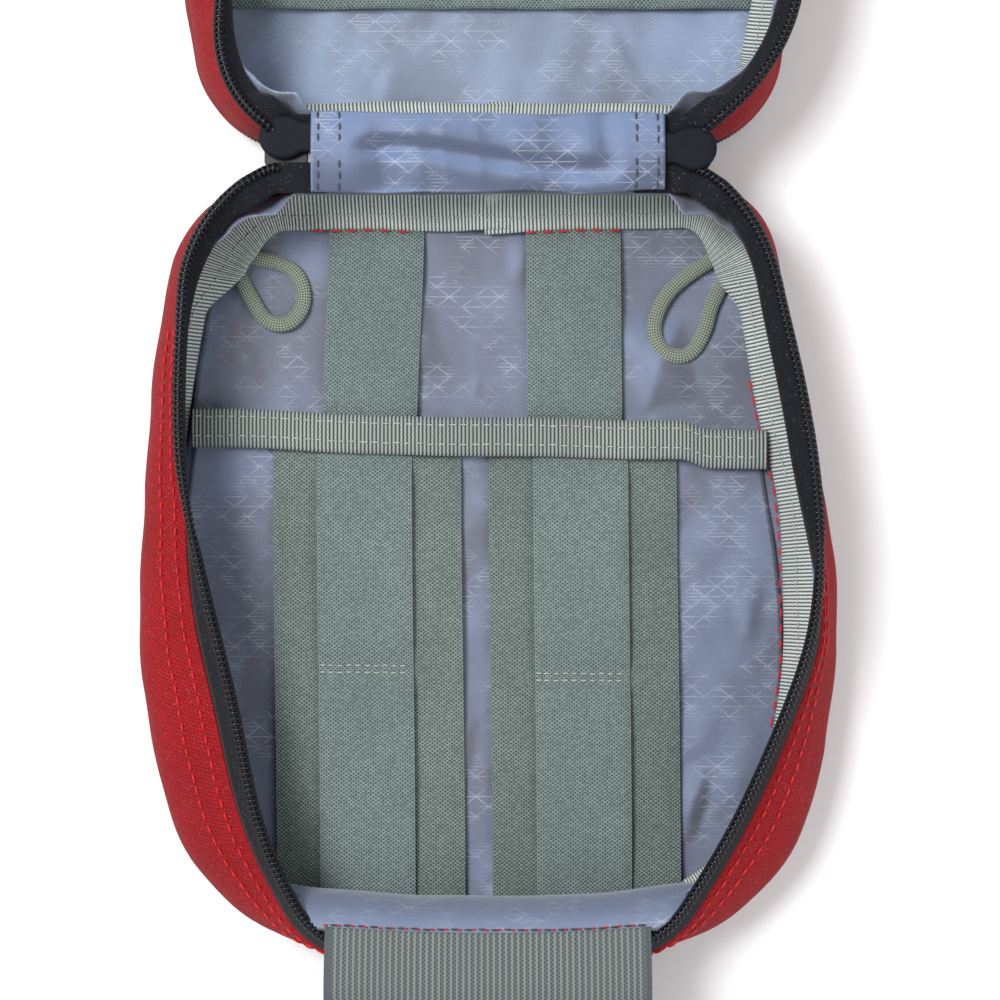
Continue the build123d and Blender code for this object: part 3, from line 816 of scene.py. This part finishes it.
def outer_wall(half):
    shares = WALL_SHARES
    heights = np.linspace(0, 1, 22)
    top, total = wall(half, shares, heights, 0.0, 1.0, 21 + half.seed)
    under, _ = wall(half, shares, heights, 1.0, 1.0, 21 + half.seed)
    uv = round_uv(shares, total, 22, 42)
    skin = half.skin("_outer_wall", top, under, uv)
    piece(skin, half.body, RED, "outer_cloth", half.name + "_side_wall")
    grids = []
    dense = np.arange(900) / 900
    for up in (0.955, 0.86):
        line, _ = wall(half, dense, [up], -0.15, 1.0, 21 + half.seed)
        keep = line[line[:, 0, 1] < 62, 0]
        grids += stitches(half.place(keep), 3.3, 2.4, 0.3, 0.16, 3)
    piece(tubes(half.name + "_wall_stitches", grids), half.body, RED_THREAD, "outer_cloth")


def lining_inset(half):
    """How far inside the outer wall the lining lies. In the base it rolls inwards behind the flap."""
    roll = 0.0 if half.is_lid else 8.0

    def inset(share_up, mid):
        near_flap = ease(-mid[:, 1], 70, 92) * near(mid[:, 0], 40, 66)
        height = np.sin(np.clip(share_up * 1.18, 0, 1) * math.pi * 0.62) ** 1.4
        return 2.5 * (1 - share_up ** 8) + near_flap * roll * height

    return inset


def wall_lining(half):
    shares = WALL_SHARES
    heights = np.linspace(0.12, 1.0, 26)
    inset = lining_inset(half)
    top, total = wall(half, shares, heights, inset, 1.0, 21 + half.seed, True)
    pucker = np.maximum(waves(shares[:, None] * total, top[..., 2], 33 + half.seed, 7, 18, 6, 0.5), -0.4)
    normal = ring(BULGE, shares)[1]
    depth = 0.8 * pucker * ease(top[..., 2], 18, 32)
    top[..., :2] += normal[:, None] * depth[..., None]
    under = top.copy()
    under[..., :2] -= normal[:, None] * LINING_THICKNESS
    uv = round_uv(shares, total, 26, 38)
    skin = half.skin("_inner_lining", top, under, uv)
    piece(skin, half.body, half.lining, "lining_cloth", half.name + "_wall_lining")
    grids = []
    for side in (-1, 1):
        edge = top[:, 23]
        edge = edge[(edge[:, 0] * side > 46) & (edge[:, 1] > 62)]
        grids += stitches(half.place(edge), 3.2, 2.1, 0.22, 0.35, 4)
    piece(tubes(half.name + "_lining_stitches", grids), half.body, BLUE_THREAD, "lining_cloth")


def disc(half, inset, height, thickness, name, material, slot, *nodes):
    """Panel that fills the floor. height gives its top."""
    shares = np.arange(360) / 360
    edge, normal, _ = ring(FLOOR, shares)
    edge = edge + normal * inset
    reach = np.linspace(0, 1, 45)
    flat = edge[:, None] * reach[None, :, None]
    top = raised(flat, height(flat[..., 0], flat[..., 1]))
    uv = np.concatenate([flat, flat[:1]])
    skin = half.skin(name, top, lowered(top, thickness), uv)
    face_outwards(skin.data, 1e-6)
    return piece(skin, half.body, material, slot, *nodes)


def panels(half, side):
    """Lining, outer cloth and foam of the floor."""
    def level(height):
        return lambda x, y: np.full_like(x, half.floor_z + height)

    lining = "_floor_lining", half.lining, "lining_cloth", side + "_lining"
    disc(half, 2.6, half.floor_top, LINING_THICKNESS, *lining)
    disc(half, -0.4, level(1.25), 1.2, "_outer_panel", RED, "outer_cloth", side + "_panel")
    foam_top = level(INSIDE_Z - 0.6)
    pad = disc(half, 3.4, foam_top, INSIDE_Z - 2.0, "_foam_sheet", FOAM, "foam", side + "_foam")


def seam_binding(half):
    """Grosgrain over the seam of floor and wall. Its two ends overlap at the middle of the hinge side."""
    _, _, total = ring(BULGE, np.array([0.0]))
    overlap = 6.5 / total
    count = int(total * 4.4)
    shares = np.linspace(0, 1 + overlap, count)
    low, normal, _ = ring(FLOOR, shares)
    mid, _, _ = ring(BULGE, shares)
    line = lerp(low, mid, 0.55)
    distance = shares * total
    lap = ease(shares, 1 - 1.2 * overlap, 1 - 0.3 * overlap)
    steep = ease(-line[:, 0], 50, 72) * ease(-line[:, 1], -82, -66) * (0 if half.is_lid else 1)
    wave = waves(distance, 0, 51 + half.seed, 30, 90, 5)
    crest = np.cos(distance * TAU)
    over_cord = np.zeros(count)
    for route in (() if half.is_lid else (LEFT_CORD, RIGHT_CORD)):
        gap = np.hypot(*(line + normal * 9.0 - (np.array(route[0]) + route[-1]) / 2).T)
        over_cord = np.maximum(over_cord, near(gap, 5, 15))
    rows = []
    columns = 8
    for share in np.linspace(0, 1, columns):
        inset = lerp(lerp(10.6, 5.2, steep) + 4.2 * over_cord, 0.5, share) + wave * 0.9
        rise = lerp(6.0, 11.0, steep)
        z = half.floor_z + INSIDE_Z + 3.8 + rise * share ** 1.8 + 1.7 * lap + wave * 0.5
        z = z + 1.9 * over_cord * (1 - share ** 2)
        z = z + 0.24 * crest * (1 if 0 < share < 1 else 0.5) + 0.5 * math.sin(share * math.pi)
        rows.append(raised(line + normal * inset[:, None], z))
    top = np.stack(rows, 1)
    uv = strip_uv(distance, 12, columns)
    skin = half.skin("_floor_binding", top, lowered(top, CLOTH_THICKNESS), uv, False)
    piece(skin, half.body, BINDING, "seam_binding", half.name + "_seam_binding")
    sewn = lerp(top[::6, 2], top[::6, 3], 0.4)
    grids = stitches(half.place(sewn), 2.9, 2.1, 0.2, 0.12, 5)
    piece(tubes(half.name + "_binding_stitches", grids), half.body, PALE_THREAD, "seam_binding")
    return half.place(top[:, 0])


def edge_binding(half, material, slot):
    _, _, total = ring(FLOOR, np.array([0.0]))
    count = int(total * 4.2)
    shares = np.arange(count) / count
    line, normal, _ = ring(FLOOR, shares)
    crest = 0.16 * np.cos(shares * round(total) * TAU)
    rows = []
    columns = 9
    for angle in np.linspace(-math.pi / 2, math.pi / 2, columns):
        out = 0.3 + (1.5 + crest) * math.cos(angle)
        z = half.floor_z + 2.55 + (2.3 + crest) * math.sin(angle)
        rows.append(raised(line - normal * out[:, None], z))
    top = np.stack(rows, 1)
    under = raised(line - normal * 0.45, np.full(count, half.floor_z + 2.55))
    under = lerp(top, under[:, None], 0.4)
    uv = round_uv(shares, round(total), columns, 8)
    skin = half.skin("_rim_of_panel", top, under, uv)
    piece(skin, half.body, material, slot, half.name + "_edge_binding")


def chain_path(spacing):
    line = rounded(both_sides(CHAIN), False)
    total = length_of(line)
    distance = np.arange(0, total, spacing)
    points = along(line, distance)
    return points, inward(np.gradient(points, axis=0)), distance


def zipper(half):
    points, normal, distance = chain_path(0.9)
    tail = ease(points[:, 1], 96, 101)
    coil_z = lerp(COIL_LOW_Z, FOLD_Z + 1.2, tail)
    coil = points + normal * COIL_INSET
    offset = tape_offset(half, points)
    drop = lerp(tape_drop(offset), 1.2, tail)
    columns = 9
    rows = []
    for share in np.linspace(0, 1, columns):
        inset = lerp(-COIL_INSET * np.tanh(offset), offset, share)
        rows.append(raised(coil + normal * inset[:, None], coil_z - drop * share ** 1.3))
    top = np.stack(rows, 1)
    thick = grid_normals(top) * (TAPE_THICKNESS / 2)
    top, under = top + thick, top - thick
    uv = strip_uv(distance, TAPE_WIDTH, columns)
    tape = half.skin("_tape", top, under, uv, False)
    piece(tape, None, TAPE, "zipper_tape", half.name + "_zipper_tape")
    follow_hinge(half, tape)

    fine, fine_normal, fine_distance = chain_path(COIL_PITCH / 12)
    keep = (np.abs(fine[:, 0]) > CHAIN_START_X) | (fine[:, 1] < 60)
    fine, fine_normal, fine_distance = fine[keep], fine_normal[keep], fine_distance[keep]
    angle = fine_distance * TAU / COIL_PITCH
    tail = ease(fine[:, 1], 96, 101)
    centre_z = lerp(COIL_LOW_Z + 0.2, FOLD_Z + 1.9, tail)
    flat = fine + fine_normal * (COIL_INSET + 0.86 * np.cos(angle))[:, None]
    turns = raised(flat, centre_z + WIRE_RADIUS * np.sin(angle))
    middle = raised(fine + fine_normal * COIL_INSET, centre_z)[::6]
    grids = [round_grid(half.place(turns), WIRE_RADIUS, 7), round_grid(half.place(middle), 0.55, 8)]
    coil_piece = tubes(half.name + "_coil_teeth", grids)
    piece(coil_piece, None, COIL, "zipper_coil", half.name + "_zipper_coil")
    follow_hinge(half, coil_piece)


def follow_hinge(half, thing, before=4.0, after=5.0):
    """Bakes a piece's placement into its mesh; it does not bend the piece. before and after are not used.
    """
    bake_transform(thing)


BASE.lining, LID.lining = LINING, LID_LINING
binding_edges = {}
for half, side, edge_material, edge_slot in (
    (BASE, "back", RED_BINDING, "red_binding"), (LID, "front", BLACK_BINDING, "black_binding"),
):
    outer_wall(half)
    wall_lining(half)
    panels(half, side)
    binding_edges[half.name] = seam_binding(half)
    edge_binding(half, edge_material, edge_slot)
    zipper(half)


# ---- pocket and straps in the base ---------------------------------------------------------
FLOOR_LINE, FLOOR_NORMAL, _ = ring(FLOOR, np.arange(720) / 720)
INNER_LINE = FLOOR_LINE + FLOOR_NORMAL * 7.6
POCKET_SHIFT = -2.6
BINDING_WIDTH = 10.0
ELASTIC_THICKNESS = 1.1


def half_width(y):
    """Half the width of the floor inside its binding, at y."""
    right = INNER_LINE[INNER_LINE[:, 0] > 0]
    order = np.argsort(right[:, 1])
    return np.interp(y, right[order, 1], right[order, 0])


def pocket_edge(x):
    """Line of the pocket's top edge: it slopes, and steps down near the right."""
    return 41.0 - 2.4 * ease(x, -76, -10) - 0.7 * ease(x, -10, 48) - 2.3 * ease(x, 49, 58)


def pocket_top(x, y):
    """Height of the pocket panel."""
    pulled = np.maximum(waves(x, y, 62, 20, 52, 7, 0.85), 0) * 2.2
    slack = waves(x, y, 63, 34, 80, 5) * 0.6 + 0.6
    small = waves(x, y, 64, 9, 20, 6, 0.4) * 0.25
    return BASE.floor_z + INSIDE_Z + 1.9 + (pulled + slack + small) * near(x - 4, 60, 76)


def pocket():
    rows, columns = 110, 130
    grid = np.zeros((rows, columns, 3))
    share = np.linspace(0, 1, rows)
    v = np.linspace(-1, 1, columns)
    for i in range(rows):
        y_guess = lerp(-87.0, 38.0, share[i])
        x = v * half_width(y_guess) + POCKET_SHIFT * ease(y_guess, -60, 30)
        y = lerp(-87.0, pocket_edge(x) - 1.0, share[i])
        grid[i] = np.stack([x, y, pocket_top(x, y)], 1)
    skin = shell("pocket_cloth", grid, lowered(grid, LINING_THICKNESS), grid[..., :2])
    piece(skin, "base", LINING, "lining_cloth", "pocket_panel")


def flat_ribbon(name, x_of, y_low, y_high, width, height, material, node, rows=140):
    """Elastic that lies along Y. x_of gives its middle and height its top."""
    y = np.linspace(y_low, y_high, rows)
    v = np.linspace(-1, 1, 25)
    x = x_of(y)[:, None] + v[None] * width / 2
    yy = np.repeat(y[:, None], 25, 1)
    thick = ELASTIC_THICKNESS / 2
    top, under = two_faces(x, yy, height(x, yy) - thick, thick * thinned(v, 14)[None])
    uv = np.stack([x - x_of(y)[:, None], yy], 2)
    piece(shell(name, top, under, uv), "base", material, "elastic", node)


def calm(x, y, rough):
    """Height under a strap: stiffer than the lining, so it follows only the wide hills."""
    return BASE.floor_z + INSIDE_Z + rough + waves(x, y, 71, 60, 120, 4) * 0.4 + 0.5


STRAPS = {"left": (-31.5, -29.0, -31.0, -26.3), "right": (24.4, 22.0, 22.4, -28.4)}


def straps():
    for side, (wide_x, upper_top_x, upper_low_x, seam_y) in STRAPS.items():
        flat_ribbon(
            "upper_elastic_" + side, lambda y: lerp(upper_low_x, upper_top_x, ease(y, 30, 90)),
            32.0, 91.2, 24.6,
            lambda x, y: calm(x, y, 2.9) + 0.9 * np.sin((y - 32) / 60 * math.pi) - ease(y, 82, 89),
            ELASTIC, "upper_strap_" + side,
        )
        flat_ribbon(
            "pocket_elastic_" + side, lambda y: wide_x + 1.1 * ease(-y, -30, 84),
            -87.0, 31.5, 48.8,
            lambda x, y: calm(x, y, 5.0) + waves(x, y, 72, 20, 60, 4) * 0.35 - 1.2 * ease(y, 24, 31),
            WIDE, "wide_elastic_" + side,
        )

        def loop_height(x, y):
            gap = np.abs(y - seam_y)
            tied = 1.3 * (1 - bell(gap, 5))
            ends = ease(y, -87, -70) * ease(-y, -33, -16)
            return calm(x, y, 6.2) + 0.2 + tied * (0.45 + 0.55 * ends) - 2.2 * ease(y, 22, 31)

        flat_ribbon(
            "loop_band_" + side, lambda y: wide_x - 0.6 + ease(-y, -30, 84),
            -87.0, 31.5, 24.6, loop_height, ELASTIC, "loop_elastic_" + side, 220,
        )
        x = np.linspace(wide_x - 12.4, wide_x + 12.4, 40)
        grids = []
        for offset in (-0.9, 0.9):
            y = np.full_like(x, seam_y + offset)
            line = np.stack([x, y, loop_height(x, y) + 0.05], 1)
            grids += stitches(line, 2.3, 1.7, 0.22, 0.1, 6)
        piece(tubes("loop_stitches_" + side, grids), "base", PALE_THREAD, "elastic")


def pocket_binding():
    left = -half_width(38.0) - 4.0
    right = half_width(38.0) - 0.4
    count = int((right - left) * 4.5)
    x = np.linspace(left, right, count)
    crest = np.cos((x - left) * TAU)
    columns = 11
    rows = []
    for share in np.linspace(0, 1, columns):
        y = pocket_edge(x) - share * BINDING_WIDTH + 0.3 * waves(x, 0, 81, 30, 70, 4)
        on_straps = near(x + 30, 24, 34) + near(x - 24, 24, 34)
        z = BASE.floor_z + INSIDE_Z + 6.0 + 1.3 * on_straps + 0.9 * math.sin(share * math.pi) ** 0.5
        z = z + waves(x, y, 82, 25, 60, 4) * 0.5 + 0.22 * crest + 0.6 * np.sin(ease(x, 44, 60) * math.pi)
        rows.append(np.stack([x, y, z], 1))
    top = np.stack(rows, 1)
    made = shell("pocket_edge_binding", top, lowered(top, 1.0), strip_uv(x - left, BINDING_WIDTH, columns))
    piece(made, "base", POCKET_BINDING, "seam_binding", "pocket_binding")
    grids = stitches(top[::5, 2], 2.9, 2.0, 0.2, 0.15, 8) + stitches(top[::5, 7], 2.9, 2.0, 0.2, 0.15, 9)
    piece(tubes("pocket_binding_stitches", grids), "base", PALE_THREAD, "seam_binding")


def red_dashes():
    """Red thread that shows at the strap tops and down the right side of the pocket."""
    edge = binding_edges["base"]
    grids = []
    for low, high in ((-46, -16), (9, 36)):
        line = edge[(edge[:, 0] > low) & (edge[:, 0] < high) & (edge[:, 1] > 60)]
        line = line[np.argsort(line[:, 0])][::4].copy()
        line[:, 1] -= 0.4
        line[:, 2] += 0.2
        grids += stitches(line, 4.4, 2.9, 0.28, 0.2, 10)
    line = edge[(edge[:, 0] > 50) & (edge[:, 1] < 52) & (edge[:, 1] > -42)]
    line = line[np.argsort(line[:, 1])][::4].copy()
    line[:, 0] -= 0.7
    grids += stitches(line, 4.0, 3.0, 0.28, 0.2, 11)
    piece(tubes("red_seam_stitches", grids), "base", RED_THREAD, "outer_cloth")


pocket()
straps()
pocket_binding()
red_dashes()


# ---- flap and the hem that it is sewn to ----------------------------------------------------
FLAP_WIDTH = (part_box("flap_root")[1].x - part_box("flap_root")[0].x) / MM
FLAP_SEAM_Y = JOINT["flap_lift"][1] / MM
FLAP_Z = JOINT["flap_straighten"][2] / MM
FLAP_LENGTH = 66.0
FLAP_THICKNESS = 0.9
FLAP_DROOP = 58.0  # degrees


def flap():
    rows = 90
    distance = np.linspace(0, FLAP_LENGTH, rows)
    step = distance[1]
    angle = np.radians(FLAP_DROOP * ease(distance, 11, 27)) + np.radians(-9.0 * (1 - ease(distance, 0, 8)))
    y = FLAP_SEAM_Y - np.concatenate([[0], np.cumsum(np.cos(angle[1:]) * step)])
    z = FLAP_Z - 0.7 - np.concatenate([[0], np.cumsum(np.sin(angle[1:]) * step)])
    across = int(FLAP_WIDTH / FLAP_RIB * 6)
    v = np.linspace(-FLAP_WIDTH / 2, FLAP_WIDTH / 2, across)
    ribs = 0.2 * np.cos(v / FLAP_RIB * TAU)
    edge = thinned(v / v[-1], 30)
    wide = 1 + 0.012 * np.sin(distance / FLAP_LENGTH * math.pi)
    lift = waves(v[None], distance[:, None], 91, 40, 90, 4) * 0.35 * ease(distance, 14, 40)[:, None]
    run = np.stack([-np.cos(angle), -np.sin(angle)], 1)
    up = np.stack([run[:, 1], -run[:, 0]], 1)

    def face(thickness):
        amount = lift + thickness * edge[None] + (ribs[None] if thickness > 0 else 0)
        yy = y[:, None] + up[:, 0:1] * amount
        zz = z[:, None] + up[:, 1:2] * amount
        return np.stack([v[None] * wide[:, None], yy, zz], 2)

    uv = np.stack(np.meshgrid(distance, v, indexing="ij"), 2)
    sag = 1.6 * (1 - (v[None] / v[-1]) ** 2) * (1 - ease(distance, 4, 30))[:, None]
    top, under = face(FLAP_THICKNESS / 2), face(-FLAP_THICKNESS / 2)
    top[..., 1] -= sag
    under[..., 1] -= sag
    made = shell("flap_webbing", top, under, uv)
    piece(made, None, FLAP_CLOTH, "ribbed_webbing", "flap_root", "flap_tip")
    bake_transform(made)


def flap_hem():
    """Roll of lining behind the flap's seam, from the zipper on one side to the other."""
    u = np.linspace(-1, 1, 120)[:, None]
    angle = np.radians(np.linspace(-40, 90, 26))[None]
    rise = np.sin(angle)
    crest = 9.4 - 2.2 * (1 - u ** 2) + 0.5 * waves(u * 50, 0, 94, 16, 50, 4)
    y = FLAP_SEAM_Y - 1.0 - 1.2 * (1 - u ** 2) + crest * np.cos(angle)
    half_span = 42.0 + 10.5 * np.clip(np.cos(angle), 0, 1)
    x = u * half_span + 1.4 * np.cos(angle)
    z = FLAP_Z - 16.4 + 15.0 * rise + 0.35 * waves(x, y * 2, 95, 9, 26, 6, 0.4) * np.cos(angle)
    top = np.stack([x, y, z], 2)
    under = top - grid_normals(top) * 0.6 * np.sign(grid_normals(top)[60, 20, 2])
    uv = np.stack([x, np.broadcast_to(np.linspace(0, 26, 26), x.shape)], 2)
    piece(shell("flap_hem", top, under, uv), "base", LINING, "lining_cloth", "rim_hem")
    sewn = top[4:-4, -3] + np.array((0, 0, 0.25))
    for number, (material, slot, length) in enumerate(
        ((RED_THREAD, "outer_cloth", 1.0), (DARK_THREAD, "seam_binding", 2.0))
    ):
        path = sewn + np.array((1.6 * number, 0.0, 0.0))
        grids = stitches(path, 3.3, length, 0.26, 0.1, 12)
        piece(tubes("flap_seam_stitches_%d" % (number + 1), grids), "base", material, slot)


flap()
flap_hem()


# ---- hinge ---------------------------------------------------------------------------------
SLEEVE_START = 0.8  # from a fold back to the sleeve's hem
CLOTH_BEND = (SLEEVE_START, 3.2)


def across_sleeve(y):
    """1 along the middle of the sleeve, 0 at its hems."""
    return 1 - ((y - HINGE_Y) / (HINGE_Y - BASE_FOLD_Y + SLEEVE_START)) ** 2


def hinge_cloth():
    """Sleeve above and outer strip below, each in two halves that meet in the middle."""
    columns = 150
    x = np.linspace(-SLEEVE_HALF, SLEEVE_HALF, columns)
    for half, start_y in ((BASE, BASE_FOLD_Y - SLEEVE_START), (LID, LID_FOLD_Y + SLEEVE_START)):
        y = np.linspace(start_y, HINGE_Y, 26)
        xx, yy = np.meshgrid(x, y, indexing="ij")
        top = np.stack([xx, yy, sleeve_height(xx, yy)], 2)
        hem = 0.7 * waves(x, 0, 102 + half.seed, 14, 40, 4)
        top[..., 1] += hem[:, None] * (1 - across_sleeve(yy))
        sleeve = shell(half.name + "_side_sleeve", top, lowered(top, CLOTH_THICKNESS), top[..., :2])
        smooth_across(sleeve, HINGE_Y)
        piece(sleeve, None, SLEEVE_LINING, "lining_cloth", "hinge_sleeve")
        follow_hinge(half, sleeve, *CLOTH_BEND)
        grids = []
        for row_x in (-42.2, -36.8, 36.8, 42.2):
            column = int(np.argmin(np.abs(x - row_x)))
            line = top[column].copy()
            line[:, 2] += 0.1
            grids += stitches(line, 2.9, 1.9, 0.24, 0.1, 13)
        thread = piece(tubes(half.name + "_side_sleeve_stitches", grids), None, DARK_THREAD, "seam_binding")
        follow_hinge(half, thread, *CLOTH_BEND)
        z = FOLD_Z - 0.2 + 0.2 * waves(xx, yy, 103, 14, 40, 5)
        inner_y = HINGE_Y + (yy - HINGE_Y) * 0.84
        top = np.stack([xx, inner_y, z], 2)
        strip = shell(half.name + "_side_strip", top, lowered(top, CLOTH_THICKNESS), top[..., :2])
        piece(strip, None, RED, "outer_cloth", "hinge_strip")
        follow_hinge(half, strip, *CLOTH_BEND)


def sleeve_height(x, y):
    """Top of the loose sleeve: a low arch with soft folds, one of them long and slanting."""
    middle = across_sleeve(y)
    hills = waves(x, y, 101, 14, 44, 9, 0.55)
    long_fold = bell(y - HINGE_Y + 1.5 + 3.0 * np.sin(x / 17), 2.6)
    loose = near(x, 26, 35) * np.sqrt(np.maximum(middle, 0))
    return FOLD_Z + 3.1 + 1.7 * middle + (hills * 1.5 - long_fold * 1.7) * loose


def smooth_across(thing, seam_y):
    """Gives the edge along a seam the normals of the whole sleeve, so that its halves meet unseen."""
    mesh = thing.data
    normals = []
    step = 0.3
    for vertex in mesh.vertices:
        x, y, _ = vertex.co / MM
        if abs(y - seam_y) > 0.01:
            normals.append(tuple(vertex.normal))
            continue
        slope_x = (sleeve_height(x + step, y) - sleeve_height(x - step, y)) / (2 * step)
        slope_y = (sleeve_height(x, y + step) - sleeve_height(x, y - step)) / (2 * step)
        length = math.sqrt(slope_x ** 2 + slope_y ** 2 + 1)
        normals.append((-slope_x / length, -slope_y / length, 1 / length))
    mesh.normals_split_custom_set_from_vertices(normals)


def end_tab(side):
    """Rubber tab: a round lobe on a waisted neck that goes under the sleeve."""
    name = "zipper_end_tab_" + side
    low, high = box_mm(name)
    sign, shift_y = (1, -1.3) if side == "right" else (-1, 1.5)
    inner, outer = (low[0], high[0]) if side == "right" else (-high[0], -low[0])
    outer = outer + 1.4
    _, middle_y, middle_z = (high + low) / 2 + (0, shift_y, 1.5)
    _, radius, thickness = (high - low) / 2
    lobe_x = outer - radius
    bend = np.linspace(0, 1, 70)
    x = lerp(inner, outer, np.sin(bend * math.pi / 2) ** 0.9)
    lobe = np.sqrt(np.maximum(radius ** 2 - (x - lobe_x) ** 2, 0.0))
    neck = 3.9 * ease(-x, -(lobe_x + 1), -(lobe_x - 3))
    width = np.maximum((lobe ** 6 + neck ** 6) ** (1 / 6), 0.02)
    v = np.linspace(-1, 1, 25)
    outer_rim = (1 - np.clip((x - lobe_x) / radius, 0, 1) ** 10) ** 0.5
    xx = np.repeat(x[:, None], 25, 1) * sign
    yy = middle_y + v[None] * width[:, None]
    lift = thickness * thinned(v, 8)[None] * outer_rim[:, None] + 0.02
    top, under = two_faces(xx, yy, middle_z, lift)
    made = shell("rubber_tab_" + side, top, under, np.stack([xx, yy], 2))
    piece(made, "hinge", RUBBER, "rubber_tab", name)


hinge_cloth()
for side in ("left", "right"):
    end_tab(side)


# ---- loop bands in the lid -----------------------------------------------------------------
def lid_bands():
    for node in ("lid_loop_band_near", "lid_loop_band_far"):
        low, high = box_mm(node)
        y = 2 * HINGE_Y - np.linspace(high[1], low[1], 40)
        columns = 150
        v = np.linspace(-1, 1, columns)
        x = v[None] * half_width(y)[:, None]
        yy = np.repeat(y[:, None], columns, 1)
        loops = np.abs(np.sin(v * 2.5 * math.pi + math.pi / 2))[None] ** 0.6
        z = INSIDE_Z + 2.6 + 2.4 * loops
        top = np.stack([x, yy, z + waves(x, yy, 111, 40, 80, 4) * 0.3], 2)
        under, uv = lowered(top, 1.0), np.stack([yy, x], 2)
        made = shell(node.replace("lid_", "") + "_cloth", LID.place(top), LID.place(under), uv)
        piece(made, "lid", ELASTIC, "elastic", node)


lid_bands()


# ---- back of the base ----------------------------------------------------------------------
NARROW_WEBBING = 25.0
BELT_LOOP_SEWN = 10.0


def box_ribbon(name, low, high, along_x):
    """Woven strip of red webbing that fills a box, with rounded edges."""
    rows, columns = 90, 19
    a, b = (0, 1) if along_x else (1, 0)
    run = np.linspace(low[a], high[a], rows)
    v = np.linspace(-1, 1, columns)
    across = (low[b] + high[b]) / 2 + v * (high[b] - low[b]) / 2
    grid = np.zeros((rows, columns, 2))
    grid[..., a] = run[:, None]
    grid[..., b] = across[None]
    thick = np.tile((high[2] - low[2]) / 2 * thinned(v, 12), (rows, 1))
    top, under = two_faces(grid[..., 0], grid[..., 1], (low[2] + high[2]) / 2, thick)
    return piece(shell(name, top, under, grid[..., [a, b]]), "base", RED_WEBBING, "red_webbing")


def back_webbing():
    low, high = box_mm("webbing_rows")
    middle, reach = (low[1] + high[1]) / 2, (high[1] - low[1] - NARROW_WEBBING) / 2
    for number in range(3):
        y = middle + reach * (number - 1) + np.array((-0.5, 0.5)) * NARROW_WEBBING
        box_ribbon(
            "back_webbing_%d" % (number + 1), (low[0], y[0], low[2]), (high[0], y[1], high[2]), True,
        )
    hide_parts("webbing_rows")
    low, high = box_mm("belt_loop")
    flat = box_ribbon("belt_loop_webbing", low, (high[0], high[1], low[2] + 1.3), False)
    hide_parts("belt_loop")
    for number, end in enumerate((low[1], high[1] - BELT_LOOP_SEWN)):
        corners = (low[0], end, low[2] + 1.2), (high[0], end + BELT_LOOP_SEWN, high[2])
        box_ribbon("belt_loop_end_%d" % (number + 1), *corners, True)
        grids = []
        x = np.linspace(low[0] + 3, high[0] - 3, 50)
        for y in (end + 2.5, end + 7.5):
            line = np.stack([x, np.full_like(x, y), np.full_like(x, low[2] + 0.12)], 1)
            grids += stitches(line, 3.0, 2.2, 0.1, 0.0, 14)
        piece(tubes("belt_loop_stitches_%d" % (number + 1), grids), "base", RED_THREAD, "outer_cloth")


back_webbing()

# ---- nodes that keep their own shape -------------------------------------------------------
for node in frame["nodes"].values():
    if not node.hide_render:
        paint(node, METAL)

# ---- floor and light -----------------------------------------------------------------------
FLOOR_REACH, FLOOR_Z = 3000, -0.3
corners = [(x * FLOOR_REACH, y * FLOOR_REACH, FLOOR_Z) for x, y in ((-1, -1), (1, -1), (1, 1), (-1, 1))]
floor = mesh_object("studio_floor", corners, [[0, 1, 2, 3]])
floor_material, _, floor_body = new_material("studio floor", 0.9)
floor_body.inputs["Base Color"].default_value = (0.9, 0.9, 0.9, 1.0)
paint(floor, floor_material)

world = bpy.data.worlds.new("studio")
world.use_nodes = True
world.node_tree.nodes["Background"].inputs[0].default_value = (0.97, 0.98, 1.0, 1.0)
world.node_tree.nodes["Background"].inputs[1].default_value = 0.62
bpy.context.scene.world = world


def area_light(name, location, energy, size):
    data = bpy.data.lights.new(name, "AREA")
    data.energy = energy
    data.size = size
    lamp = bpy.data.objects.new(name, data)
    lamp.location = location
    aim = bpy.data.objects.new(name + "_aim", None)
    aim.location = (0, 0.05, 0)
    for thing in (lamp, aim):
        bpy.context.scene.collection.objects.link(thing)
    hold = lamp.constraints.new("TRACK_TO")
    hold.target = aim
    hold.track_axis = "TRACK_NEGATIVE_Z"
    hold.up_axis = "UP_Y"


area_light("key", (-0.55, 0.3, 1.35), 20.0, 0.45)
area_light("fill", (1.0, -0.5, 1.1), 6.0, 1.0)
bpy.context.scene.view_settings.view_transform = "Standard"
